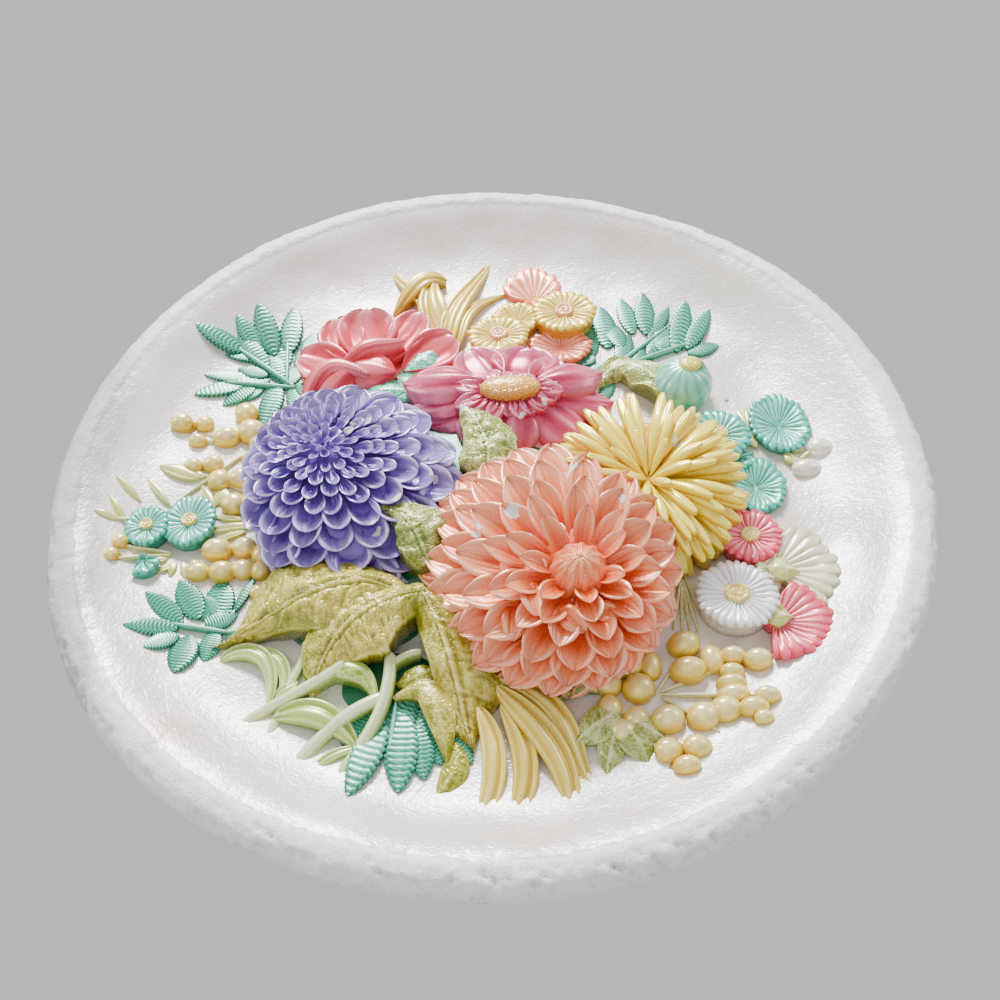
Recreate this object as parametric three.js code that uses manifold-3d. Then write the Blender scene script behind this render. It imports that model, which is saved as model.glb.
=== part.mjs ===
// Decorative wall plaque: a round, shallow plaster dish with a bouquet cast in relief on its face.
// It is one casting. Millimetres, +Z up. The flat back lies on Y = 0 against the wall, with the
// origin at the middle of it, and the relief looks towards -Y. Places on the face are given as
// x to the right, z up and n, the height above the back.
import * as THREE from 'three';
import { mergeVertices } from 'three/addons/utils/BufferGeometryUtils.js';
import Module from 'manifold-3d';

const wasm = await Module();
wasm.setup();

// ---- driving dimensions -------------------------------------------------------------------

const RADIUS = 175;          // half the outer diameter
const BACK_RADIUS = 126;     // the flat that meets the wall
const FIELD = 14;            // thickness of the dish under the field
const CREST = 31.5;          // top of the rim above the back
const KEEL = 12;             // how deep the underside of a leaf is let into the dish
const AROUND = 42;           // facets round the dish

// The face of the dish from the middle out to the rim's crest: radius, height above the back.
const FACE = [[0, FIELD], [126, 14.6], [143, 18.6], [156, 26], [166.5, CREST]];
// The rounded rim and the underside, from the crest down to the flat back.
const RIM = [[173, 29.5], [RADIUS, 23], [171.5, 15.5], [155, 6.2], [BACK_RADIUS, 0]];
// The outline is a little out of round: waves round the edge, size in mm, phase in degrees.
const WAVES = [
  { waves: 3, size: 0.65, phase: -4 },
  { waves: 4, size: 0.74, phase: 131 },
  { waves: 6, size: 0.41, phase: -109 },
];

// Domed flowers: middle of the ring of outer petals, its half widths, how far the eye leans, the
// ring's height above the back, how much higher it is at the top, and the eye's height over it.
const CORAL = { x: 20, z: -50, rx: 44, rz: 47, leanX: 10, leanZ: -18, ring: 25, rise: 8, height: 29 };
const PURPLE = { x: -52, z: -13, rx: 39, rz: 41, leanX: -12, leanZ: 11, ring: 27, rise: 3, height: 20 };
const YELLOW = { x: 63, z: -15, rx: 35, rz: 38, leanX: -2, leanZ: -6, ring: 30, rise: 2, height: 11 };

// Rows of petals on a dome: count, angle of the tips down from the eye, angle spanned, width.
const CORAL_ROWS = [
  { count: 5, tip: 34, span: 26, width: 14 },
  { count: 8, tip: 54, span: 30, width: 18 },
  { count: 11, tip: 74, span: 32, width: 21 },
  { count: 13, tip: 93, span: 34, width: 23 },
];
const PURPLE_ROWS = [
  { count: 5, tip: 28, span: 18, width: 9 },
  { count: 7, tip: 48, span: 24, width: 14 },
  { count: 9, tip: 70, span: 28, width: 19 },
  { count: 10, tip: 93, span: 32, width: 22 },
];
const YELLOW_ROWS = [
  { count: 5, tip: 42, from: 6, width: 6 },
  { count: 9, tip: 70, from: 20, width: 7.5 },
  { count: 13, tip: 94, from: 38, width: 9.5 },
];

// Broad petals: root x, z, n, tip x, z, n, width.
const MAGENTA_EYE = { x: 10, z: 31, n: 41, rx: 12, rz: 4.5 };
const MAGENTA_PETALS = [
  [4, 33, 32, -33, 38, 32, 22], [4, 36, 32, -14, 61, 29, 20], [10, 38, 32, 8, 63, 29, 22],
  [14, 38, 32, 29, 61, 29, 22], [16, 33, 32, 49, 38, 28, 20], [16, 28, 32, 44, 12, 22, 22],
  [10, 27, 32, 14, 6, 21, 23], [4, 27, 32, -9, 11, 22, 20], [2, 31, 32, -28, 25, 24, 18],
];
const PINK_PETALS = [
  [-52, 58, 20, -81, 66, 22, 22], [-54, 62, 22, -71, 88, 23, 20], [-51, 62, 22, -54, 92, 26, 24],
  [-48, 62, 22, -33, 90, 26, 22], [-46, 60, 22, -14, 79, 24, 22], [-50, 56, 24, -26, 70, 28, 14],
  [-54, 56, 22, -79, 41, 21, 20], [-52, 58, 26, -74, 54, 30, 13], [-52, 54, 22, -52, 41, 25, 18],
];
const MAGENTA_BED = { x: 8, z: 33, rx: 29, rz: 24, leanX: 0, leanZ: -2, foot: 13, height: 21 };
const PINK_BED = { x: -49, z: 62, rx: 24, rz: 20, leanX: 0, leanZ: 0, foot: 13, height: 10 };
// The mass that carries the middle of the bouquet, and the one under the big leaves.
const BOUQUET_BED = { x: -8, z: -22, rx: 66, rz: 72, leanX: 0, leanZ: 0, foot: 13, height: 14 };
const LEAF_BED = { x: -52, z: -72, rx: 42, rz: 26, leanX: 16, leanZ: 6, foot: 13, height: 12 };

// Leaves: root x, z, n, tip x, z, n, width, sideways bow of the middle.
const LEAVES = [
  [-26, -66, 29, -104, -74, 17, 26, 6], [-34, -58, 30, -92, -50, 22, 20, 6],
  [-26, -70, 28, -68, -98, 17, 30, -4], [-24, -66, 30, -16, -119, 17, 28, 6],
  [-36, -94, 19, -24, -124, 16, 9, 9], [-12, -26, 31, -45, -28, 31, 24, 0],
  [-20, -34, 29, -29, -56, 27, 22, 0], [-1, -9, 32, -10, 25, 31, 26, 5],
  [-30, 40, 20, -15, 68, 19, 14, -4], [-30, 40, 20, -60, 38, 18, 14, 3],
  [60, 38, 18, 52, 56, 18, 14, -6], [62, 48, 19, 82, 30, 16, 15, 5],
  [34, -100, 17, 19, -104, 16, 10, 0], [34, -108, 17, 27, -119, 16, 9, 0],
  [36, -112, 17, 37, -132, 15.5, 9, 0], [38, -112, 17, 51, -130, 15.5, 9, 0],
  [38, -110, 17, 56, -119, 16, 9, 0], [-42, -92, 19, -62, -88, 18, 12, 2],
];
// Narrow blades of grass and sword leaves: root x, z, n, tip x, z, n, width, bow.
const BLADES = [
  [-4, -100, 22, -13, -150, 15.5, 9, 5], [0, -100, 22, -3, -152, 15.5, 8, 9],
  [2, -100, 22, 21, -152, 16, 12, 7], [6, -100, 22, 38, -131, 15.5, 10, 7],
  [-24, -118, 16, -26, -139, 15.5, 8, 3], [-16, 68, 16, -46, 137, 16, 9, -6],
  [-16, 68, 16, 6, 137, 16, 9, 6], [-14, 74, 16, 12, 113, 16, 5, 6], [-19, 90, 17, -20, 119, 18, 12, 0],
  [-20, 118, 18, -39, 103, 17, 7, -3],
];
// Stems and their small leaves: root x, z, n, tip x, z, n, width, bow.
const STEMS = [
  [-42, -92, 20, -98, -110, 15.5, 5, 3], [-41, -88, 20, -59, -130, 15.5, 6, 4],
  [-48, -99, 19, -75, -124, 15.5, 6, 2], [-80, -102, 16.5, -85, -120, 15.5, 4, 1],
  [-83, -99, 16.5, -101, -79, 15.5, 5, -6], [-74, -99, 16.5, -56, -112, 16, 6, 2],
];
// Fern fronds: root x, z, tip x, z, width.
const FRONDS = [
  [-96, 72, -129, 89, 13], [-94, 76, -112, 98, 13], [-90, 76, -104, 106, 14], [-86, 74, -87, 107, 15],
  [-88, 68, -127, 55, 15], [-88, 64, -97, 38, 14], [-82, 62, -76, 41, 14], [52, 62, 55, 101, 15],
  [60, 68, 65, 106, 12], [68, 72, 77, 107, 14], [88, 66, 93, 100, 13], [90, 66, 105, 74, 12],
  [54, 58, 92, 66, 15], [-108, -64, -121, -44, 14], [-108, -66, -136, -62, 14],
  [-110, -66, -126, -79, 10], [-108, -68, -115, -86, 14], [-104, -64, -101, -45, 15],
  [-98, -72, -106, -83, 9], [-38, -104, -51, -135, 14], [-34, -104, -34, -133, 14],
  [-30, -106, -20, -128, 13], [-12, -116, -8, -125, 10],
];
// Small flowers: x, z, half width, half height, rise above the field, eye half width.
const DAISIES = [
  [37, 92, 14.5, 13, 10, 4.5], [6.5, 80, 14, 12, 9, 4.5], [34, 75, 12, 9, 4, 0], [25, 117, 13, 11, 3, 0],
  [15, 94, 10, 9, 5, 0], [96, 16, 13, 12, 8, 4.5], [123, 23, 12, 15, 4, 0], [108, -9, 11, 14, 4, 0],
  [100, -37, 12, 12, 8, 4.5], [90, -65, 15, 14, 11, 5], [119, -51, 12, 17, 4, 0], [111, -76, 12, 13, 5, 0],
  [-136, -20, 8, 9, 5, 3], [-120, -18, 10, 11, 6, 3.5], [-136, -36, 6, 6, 3, 0],
];
const POD = { x: 83, z: 44, rx: 13.5, rz: 12.5, foot: 12, height: 18 };
// Sprays of berries: first x, z, last x, z, count, berry half width.
const SPRAYS = [
  [-130, 35, -121, 36, 2, 4.8], [-122, 26, -110, 27, 2, 4.6], [-103, 41, -97, 24, 3, 5.4],
  [-84, 34, -84, 27, 2, 4.8], [-75, 37, -66, 44, 2, 4.5], [-123, 13, -115, 13, 2, 4.4],
  [-111, 4, -96, 1, 2, 5.2], [-100, 15, -92, 17, 2, 5.2], [-104, -7, -97, -8, 2, 5.6],
  [-109, -31, -97, -31, 2, 6], [-114, -41, -97, -41, 2, 6.4], [-144, -29, -145, -37, 2, 3],
  [68, -83, 94, -91, 4, 5], [68, -93, 84, -96, 2, 5.2], [81, -101, 88, -112, 2, 5],
  [79, -111, 70, -113, 2, 5.6], [95, -107, 91, -116, 2, 4], [50, -83, 47, -91, 2, 5],
  [56, -91, 50, -101, 2, 5], [39, -97, 39, -107, 2, 5.2], [47, -112, 59, -113, 2, 5.6],
  [58, -125, 67, -125, 2, 5],
];

// ---- helpers ------------------------------------------------------------------------------

const OUT = new THREE.Vector3(0, -1, 0);
const radians = THREE.MathUtils.degToRad;
const at = (x, z, n) => new THREE.Vector3(x, -n, z);

/** Height of the dish's face at x, z, by straight runs between the points of FACE. */
function faceHeight(x, z) {
  const r = Math.hypot(x, z);
  const i = Math.max(1, FACE.findIndex(([radius]) => radius >= r));
  const [r0, n0] = FACE[i - 1];
  const [r1, n1] = FACE[i];
  return THREE.MathUtils.lerp(n0, n1, (r - r0) / (r1 - r0));
}

/** A closed geometry as a solid that can be joined and cut. */
function solid(geometry) {
  const bare = geometry.index ? geometry.clone() : geometry;
  bare.deleteAttribute('normal');
  bare.deleteAttribute('uv');
  const merged = mergeVertices(bare, 1e-4);
  return new wasm.Manifold(new wasm.Mesh({
    numProp: 3,
    vertProperties: new Float32Array(merged.attributes.position.array),
    triVerts: new Uint32Array(merged.index.array),
  }));
}

/** A geometry with every vertex moved by the function place(vertex), which returns a new one. */
function reshape(geometry, place) {
  const position = geometry.attributes.position;
  const vertex = new THREE.Vector3();
  for (let i = 0; i < position.count; i += 1) {
    vertex.fromBufferAttribute(position, i);
    const moved = place(vertex);
    position.setXYZ(i, moved.x, moved.y, moved.z);
  }
  return geometry;
}

/** Outline of a leaf or petal from root (0) to tip (1), widest at the given share of its length. */
function leafOutline(share, widest) {
  return Math.sin(Math.PI * share ** (Math.log(0.5) / Math.log(widest)));
}

/** A petal, leaf or blade: a globe drawn out along a bowed line from root to tip. Its section
 *  is width across the leaf and thick through it, and both follow the leaf's outline. Where
 *  keel is given, the underside runs down to that height, so nothing is open beneath it. */
function blade(root, tip, { width, thick, bow = 0, face = OUT, widest = 0.5, rings = 2, keel }) {
  const run = tip.clone().sub(root);
  const across = face.clone().cross(run).normalize();
  const middle = root.clone().lerp(tip, 0.5).addScaledVector(across, bow * 2);
  const spine = new THREE.QuadraticBezierCurve3(root, middle, tip);
  return reshape(new THREE.SphereGeometry(1, 4, rings), (v) => {
    const share = THREE.MathUtils.clamp((1 - v.y) / 2, 0, 1);
    const reach = Math.hypot(v.x, v.z);
    const outline = reach < 1e-6 ? 0 : leafOutline(share, widest) / reach;
    const along = spine.getTangent(share);
    const side = face.clone().cross(along).normalize();
    const up = along.clone().cross(side).normalize();
    const point = spine.getPoint(share)
      .addScaledVector(side, v.x * outline * width / 2)
      .addScaledVector(up, v.z * outline * thick / 2);
    return keel !== undefined && v.z < -0.1 ? point.setY(-keel) : point;
  });
}

/** A mound: half an ellipsoid standing on a flat foot, leaning sideways as it rises. */
function mound({ x, z, rx, rz, leanX = 0, leanZ = 0, foot, height }, sides = 18, rings = 5) {
  const profile = [new THREE.Vector2(0, 0)];
  for (let i = 0; i <= rings; i += 1) {
    const angle = (i / rings) * Math.PI / 2;
    profile.push(new THREE.Vector2(i === rings ? 0 : Math.cos(angle), Math.sin(angle)));
  }
  return reshape(new THREE.LatheGeometry(profile, sides), (v) => at(
    x + rx * v.x + leanX * v.y,
    z - rz * v.z + leanZ * v.y,
    foot + height * v.y,
  ));
}

/** A point on a domed flower: tilt down from its eye and turn round it in degrees; scale 1 is
 *  on the dome, more is proud of it. */
function onDome(flower, tilt, turn, scale = 1) {
  const flat = Math.sin(radians(tilt)) * scale;
  const up = Math.cos(radians(tilt));
  const back = flat * Math.sin(radians(turn));
  return at(
    flower.x + flower.rx * flat * Math.cos(radians(turn)) + flower.leanX * up,
    flower.z + flower.rz * back + flower.leanZ * up,
    flower.ring + flower.height * up * scale + flower.rise * back,
  );
}

// ---- the parts of the casting -------------------------------------------------------------

/** The dish: face, rim and underside turned in one profile, then pushed a little out of round. */
function dish() {
  const profile = [...FACE, ...RIM, [0, 0]].map(([r, n]) => new THREE.Vector2(r, n)).reverse();
  return reshape(new THREE.LatheGeometry(profile, AROUND), (v) => {
    const radius = Math.hypot(v.x, v.z);
    const angle = Math.atan2(-v.z, v.x);
    const weight = (radius / RADIUS) ** 4;
    const push = WAVES.reduce((sum, w) => sum + w.size * Math.cos(w.waves * angle - radians(w.phase)), 0);
    const grown = radius + push * weight;
    return at(grown * Math.cos(angle), grown * Math.sin(angle), v.y);
  });
}

/** The mass under the petals of a domed flower: the flower's own dome, shrunk by a share, with
 *  straight sides down into the dish. */
function core(flower, share, sides = 14, rings = 3) {
  const profile = [new THREE.Vector2(0, -1), new THREE.Vector2(share, -1)];
  for (let i = 0; i <= rings; i += 1) {
    const angle = (i / rings) * Math.PI / 2;
    profile.push(new THREE.Vector2(i === rings ? 0 : share * Math.cos(angle), share * Math.sin(angle)));
  }
  return reshape(new THREE.LatheGeometry(profile, sides), (v) => {
    const up = Math.max(v.y, 0);
    const top = flower.ring + flower.height * up - flower.rise * v.z;
    return at(
      flower.x + flower.rx * v.x + flower.leanX * up,
      flower.z - flower.rz * v.z + flower.leanZ * up,
      v.y < 0 ? KEEL : top,
    );
  });
}

/** Boat-shaped petals in rows round a dome, each row set half a petal round from the last. The
 *  outermost stand on the dish. */
function domePetals(flower, rows, thick) {
  return rows.flatMap((row, index) => Array.from({ length: row.count }, (_, i) => {
    const turn = 360 * (i + 0.5 * (index % 2)) / row.count + 7 * index;
    const root = onDome(flower, row.tip - row.span, turn, 0.7);
    const tip = onDome(flower, row.tip, turn, 1.05);
    const face = OUT.clone().multiplyScalar(flower.height)
      .add(onDome(flower, 90, turn).sub(onDome(flower, 90, turn, 0)).multiplyScalar(row.tip / 120))
      .normalize();
    const keel = row.tip > 90 ? KEEL : undefined;
    return blade(root, tip, { width: row.width, thick, face, widest: 0.62, keel });
  }));
}

/** The quilled petals of the yellow flower: narrow tubes out from its eye in layers. */
function quills() {
  return YELLOW_ROWS.flatMap((row, index) => Array.from({ length: row.count }, (_, i) => {
    const turn = 360 * (i + 0.37 * index) / row.count;
    const root = onDome(YELLOW, row.from, turn, 0.8);
    const tip = onDome(YELLOW, row.tip, turn, 1.08);
    const keel = row.tip > 90 ? KEEL : undefined;
    return blade(root, tip, { width: row.width, thick: row.width, widest: 0.6, keel });
  }));
}

/** Petals, leaves or blades from rows of root, tip, width and bow. */
function blades(rows, options) {
  return rows.map(([x0, z0, n0, x1, z1, n1, width, bow = 0]) => blade(
    at(x0, z0, n0),
    at(x1, z1, n1),
    { width, bow, ...options },
  ));
}

/** The oval button at the middle of the magenta flower, with the short ruffle under it. */
function magentaEye() {
  const { x, z, n, rx, rz } = MAGENTA_EYE;
  return [
    mound({ x, z: z - 1, rx: rx + 7, rz: rz + 10, leanZ: 4, foot: n - 16, height: 13 }, 10, 2),
    mound({ x, z, rx, rz, foot: n - 8, height: 9 }, 10, 2),
  ];
}

/** Fern fronds: thin leaves lying on the face of the dish. */
function fronds() {
  return FRONDS.map(([x0, z0, x1, z1, width]) => blade(
    at(x0, z0, faceHeight(x0, z0) + 0.6),
    at(x1, z1, faceHeight(x1, z1) + 0.2),
    { width, thick: 4, keel: KEEL },
  ));
}

/** A small flower: a low drum with a rounded top, and an eye where it looks outwards. */
function daisy([x, z, rx, rz, rise, eye]) {
  const foot = faceHeight(x, z) - 1;
  const drum = reshape(new THREE.CylinderGeometry(1, 0.9, 1, 8), (v) => at(
    x + rx * v.x,
    z - rz * v.z,
    foot + (rise + 1) * (v.y + 0.5),
  ));
  const middle = { x, z, rx: eye, rz: eye * 0.85, foot: foot + rise - 0.5, height: 3 };
  return eye > 0 ? [drum, mound(middle, 5, 1)] : [drum];
}

/** Berries set out evenly along a spray, each a blunt four-sided bead let into the dish. */
function berries([x0, z0, x1, z1, count, size]) {
  return Array.from({ length: count }, (_, i) => {
    const share = i / (count - 1);
    const x = THREE.MathUtils.lerp(x0, x1, share);
    const z = THREE.MathUtils.lerp(z0, z1, share);
    const foot = faceHeight(x, z) - 1;
    const bead = new THREE.CylinderGeometry(0.55, 1.05, 1, 4);
    const rise = size * 1.25 + 1;
    return reshape(bead, (v) => at(x + size * v.x, z - size * v.z, foot + rise * (v.y + 0.5)));
  });
}

/** Everything that stands on the dish. */
function bouquet() {
  return [
    mound(BOUQUET_BED, 16, 2),
    mound(LEAF_BED, 12, 2),
    core(CORAL, 0.86),
    core(PURPLE, 0.88),
    core(YELLOW, 0.86, 12),
    mound(MAGENTA_BED, 10, 2),
    mound(PINK_BED, 10, 2),
    mound(POD, 10, 3),
    ...domePetals(CORAL, CORAL_ROWS, 8),
    ...domePetals(PURPLE, PURPLE_ROWS, 8),
    ...quills(),
    ...blades(MAGENTA_PETALS, { thick: 9, widest: 0.6, keel: KEEL }),
    ...blades(PINK_PETALS, { thick: 9, widest: 0.62, keel: KEEL }),
    ...magentaEye(),
    ...blades(LEAVES, { thick: 6, widest: 0.42, rings: 3, keel: KEEL }),
    ...blades(BLADES, { thick: 5, keel: KEEL }),
    ...blades(STEMS, { thick: 4, keel: KEEL }),
    ...fronds(),
    ...DAISIES.flatMap(daisy),
    ...SPRAYS.flatMap(berries),
  ];
}

/** The whole casting as one mesh: the dish with everything on it joined into one solid. */
function plaque() {
  const casting = bouquet().reduce((sum, shape) => sum.add(solid(shape)), solid(dish()));
  const { vertProperties, triVerts } = casting.simplify(0.06).getMesh();
  const geometry = new THREE.BufferGeometry();
  geometry.setAttribute('position', new THREE.BufferAttribute(vertProperties, 3));
  geometry.setIndex(new THREE.BufferAttribute(triVerts, 1));
  geometry.computeVertexNormals();
  const plaster = new THREE.MeshStandardMaterial({ color: 0xe6e0d6, roughness: 0.45, metalness: 0 });
  const mesh = new THREE.Mesh(geometry, plaster);
  mesh.name = 'plaque';
  return mesh;
}

const model = new THREE.Group();
model.add(plaque());

export default model;
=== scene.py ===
"""Decorative wall plaque: the painted surface of the plaster casting, in Blender 4.5.

Places on the face are given in millimetres as x to the right, z up and n, the height above the
flat back, and are turned to metres in the frame's axes by place(). Every piece is a set of
closed surfaces worked out as whole arrays: tubes of rings drawn out along a spine (petals,
leaves, stems) or turned round an axis (dish, daisies, berries).
"""
import math

import bpy
import numpy as np
from mathutils import Matrix, Vector


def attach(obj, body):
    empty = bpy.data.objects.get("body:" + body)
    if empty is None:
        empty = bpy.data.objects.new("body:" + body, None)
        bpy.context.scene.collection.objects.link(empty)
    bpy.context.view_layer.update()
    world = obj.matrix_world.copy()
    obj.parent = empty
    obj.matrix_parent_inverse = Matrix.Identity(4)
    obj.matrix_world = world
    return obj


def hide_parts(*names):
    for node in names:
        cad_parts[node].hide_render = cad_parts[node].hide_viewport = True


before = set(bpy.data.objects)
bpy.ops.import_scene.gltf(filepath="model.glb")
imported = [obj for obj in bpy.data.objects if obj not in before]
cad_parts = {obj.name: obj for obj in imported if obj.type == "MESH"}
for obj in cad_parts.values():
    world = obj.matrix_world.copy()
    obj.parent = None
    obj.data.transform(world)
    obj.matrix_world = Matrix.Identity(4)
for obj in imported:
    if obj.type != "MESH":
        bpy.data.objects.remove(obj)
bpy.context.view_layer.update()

# ---- the plaque's own measures, in millimetres ----

MM = 0.001
RADIUS = 175.0  # of the rim
BACK_RADIUS = 126.0
FIELD = 14.0
SUNK = 12.0  # where the feet of thin forms end, below the face
AROUND_RIM = 720
# profiles as radius and height: the face from its middle to the rim's crest, and the rim from
# there down to the back; then the waves that take the rim out of round, as count, size, turn
FACE = [(0, 14.0), (60, 14.05), (110, 14.3), (128, 15.2), (141, 18.2), (151, 23.2), (159, 28.2),
        (166.5, 31.5)]
RIM = [(171.0, 30.9), (174.2, 27.6), (175.0, 23.0), (173.6, 18.2), (168.5, 13.0), (156.0, 6.6),
       (141.0, 2.2), (126.0, 0.0)]
WAVES = [(3, 0.65, -4), (4, 0.74, 131), (6, 0.41, -109)]

# the domed flowers: middle x, z, half widths, how far the eye leans, the height of the ring of
# outer petals, how much higher its top is, and the height of the eye above it
CORAL = dict(x=20, z=-50, rx=44, rz=47, lean_x=10, lean_z=-18, ring=25, rise=8, height=29)
PURPLE = dict(x=-52, z=-13, rx=39, rz=41, lean_x=-12, lean_z=11, ring=27, rise=3, height=20)
YELLOW = dict(x=63, z=-15, rx=35, rz=38, lean_x=-2, lean_z=-6, ring=30, rise=2, height=11)

OUT = (0, 0, 1)  # straight out of the face
random = np.random.default_rng(11)


# ---- small vector tools ----

def place(points):
    """x, z, n in millimetres to the frame's X, Y, Z in metres: n is measured towards -Y."""
    x, z, n = np.moveaxis(np.asarray(points, float), -1, 0)
    return np.stack([x, -n, z], -1) * MM


def unit(v):
    """Vectors scaled to length one."""
    return v / np.maximum(np.linalg.norm(v, axis=-1, keepdims=True), 1e-9)


def smooth(low, high, value):
    """0 below low, 1 above high, and a smooth S between."""
    share = np.clip((value - low) / (high - low), 0, 1)
    return share * share * (3 - 2 * share)


def bump(value, centre, width):
    """A bell of height 1 at centre."""
    return np.exp(-((value - centre) / width) ** 2)


def swell(points, size, seed, terms=16):
    """A smooth random field about 0, mostly within -1 to 1, whose swells are about size across:
    the mean of sines along directions drawn at random."""
    draw = np.random.default_rng(seed)
    waves = unit(draw.normal(size=(terms, points.shape[-1]))) * (2 * math.pi / size)
    waves = waves * draw.uniform(0.6, 1.5, (terms, 1))
    turns = draw.uniform(0, 2 * math.pi, terms)
    return np.sin(points @ waves.T + turns).sum(-1) * math.sqrt(2 / terms) * 0.6


def cells(points, size, seed):
    """Second nearest less nearest distance to scattered centres, one to a square of the given
    size, over the size: 0 on the lines between their cells and about 1 well inside them."""
    draw = np.random.default_rng(seed)
    jitter = draw.uniform(0.1, 0.9, (64, 64, 2))
    spot = points / size
    base = np.floor(spot).astype(int)
    gaps = []
    for step in ((i, j) for i in (-1, 0, 1) for j in (-1, 0, 1)):
        square = base + step
        centre = square + jitter[square[..., 0] % 64, square[..., 1] % 64]
        gaps.append(np.linalg.norm(spot - centre, axis=-1))
    first, second = np.sort(gaps, axis=0)[:2]
    return second - first


def through(path):
    """Bends that make a cubic curve pass through four places set out evenly along it."""
    a, b, c, d = (np.array(spot, float) for spot in path)
    return (-5 * a + 18 * b - 9 * c + 2 * d) / 6, (2 * a - 9 * b + 18 * c - 5 * d) / 6


def face_height(x, z):
    """Height of the dish's face above the back at x, z: the FACE profile, joined by straight lines."""
    radius = np.hypot(x, z)
    return np.interp(radius, *zip(*FACE))


def rounded(profile, count):
    """A profile of points resampled into count points on a smooth curve through them: each
    coordinate is a Hermite spline over the distance run, with slopes taken across neighbours."""
    points = np.array(profile, float)
    run = np.concatenate([[0], np.cumsum(np.hypot(*np.diff(points, axis=0).T))])
    slope = np.gradient(points, run, axis=0)
    t = np.linspace(0, run[-1], count)
    i = np.clip(np.searchsorted(run, t, side="right") - 1, 0, len(run) - 2)
    h = (run[i + 1] - run[i])[:, None]
    s = ((t - run[i]) / (run[i + 1] - run[i]))[:, None]
    return ((2 * s**3 - 3 * s**2 + 1) * points[i] + (s**3 - 2 * s**2 + s) * h * slope[i]
            + (3 * s**2 - 2 * s**3) * points[i + 1] + (s**3 - s**2) * h * slope[i + 1])


# ---- closed tubes and the mesh they make ----

class Casting:
    """Gathers closed tubes of rings, each ended by a pole, and makes one mesh of them. Every
    vertex carries marks: relief (0 in a crevice, 1 on a ridge), which the paints turn into painted
    shade in the crevices and a painted highlight on the ridges, along and across the form,
    tint (one random value for each petal) and bare (1 where the paint is off)."""

    MARKS = ("relief", "along", "across", "tint", "bare")

    def __init__(self):
        self.points, self.quads, self.tris, self.count = [], [], [], 0
        self.marks = {name: [] for name in self.MARKS}

    def add(self, rings, start, end, **marks):
        """rings is tubes x rings x round x 3; start and end are the poles, tubes x 3."""
        tubes, ring_count, around, _ = rings.shape
        each = ring_count * around + 2
        points = np.concatenate([start[:, None], rings.reshape(tubes, -1, 3), end[:, None]], 1)
        i, j = np.meshgrid(np.arange(ring_count - 1), np.arange(around), indexing="ij")
        k = (j + 1) % around
        near, far = i * around + 1, (i + 1) * around + 1
        quads = np.stack([near + j, far + j, far + k, near + k], -1)
        j = np.arange(around)
        k = (j + 1) % around
        last = (ring_count - 1) * around + 1
        first_fan = np.stack([np.zeros_like(j), 1 + j, 1 + k], -1)
        last_fan = np.stack([last + j, np.full_like(j, each - 1), last + k], -1)
        shift = (self.count + each * np.arange(tubes))[:, None, None]
        self.quads.append((quads.reshape(-1, 4)[None] + shift).reshape(-1, 4))
        self.tris.append((np.concatenate([first_fan, last_fan])[None] + shift).reshape(-1, 3))
        self.points.append(points.reshape(-1, 3))
        self.count += tubes * each
        for name in self.MARKS:
            value = np.broadcast_to(np.asarray(marks.get(name, 0.0), float), (tubes, ring_count, around))
            value = value.reshape(tubes, -1)
            whole = np.concatenate([value[:, :around].mean(1, keepdims=True), value,
                                    value[:, -around:].mean(1, keepdims=True)], 1)
            self.marks[name].append(whole.reshape(-1))

    def make(self, name, paint, chips=()):
        """The mesh object, faces outward, shaded smooth, with the marks as point attributes.
        chips are places x, z and sizes where the paint is knocked off the top."""
        points = np.concatenate(self.points)
        quads = np.concatenate(self.quads)
        tris = np.concatenate(self.tris)
        marks = {mark: np.concatenate(values) for mark, values in self.marks.items()}
        for x, z, size in chips:
            gap = np.hypot(points[:, 0] - x, points[:, 1] - z) / size
            marks["bare"] = marks["bare"] + smooth(1.3, 0.7, gap) * (marks["relief"] > 0.1)
        mesh = bpy.data.meshes.new(name)
        mesh.vertices.add(len(points))
        mesh.vertices.foreach_set("co", place(points).ravel())
        corners = np.concatenate([quads.ravel(), tris.ravel()]).astype(np.int32)
        mesh.loops.add(len(corners))
        mesh.loops.foreach_set("vertex_index", corners)
        starts = np.concatenate([np.arange(len(quads)) * 4, len(quads) * 4 + np.arange(len(tris)) * 3])
        mesh.polygons.add(len(starts))
        mesh.polygons.foreach_set("loop_start", starts.astype(np.int32))
        mesh.update(calc_edges=True)
        mesh.validate()
        mesh.shade_smooth()
        for mark, values in marks.items():
            attribute = mesh.attributes.new(mark, "FLOAT", "POINT")
            attribute.data.foreach_set("value", values.astype(np.float32))
        mesh.materials.append(paint)
        piece = bpy.data.objects.new(name, mesh)
        bpy.context.collection.objects.link(piece)
        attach(piece, "root")
        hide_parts("plaque")


def ring_shares(count):
    """Shares from 0 to 1 of the rings between two poles, closer together near the poles."""
    return 0.5 - 0.5 * np.cos(np.pi * np.arange(1, count + 1) / (count + 1))


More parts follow.
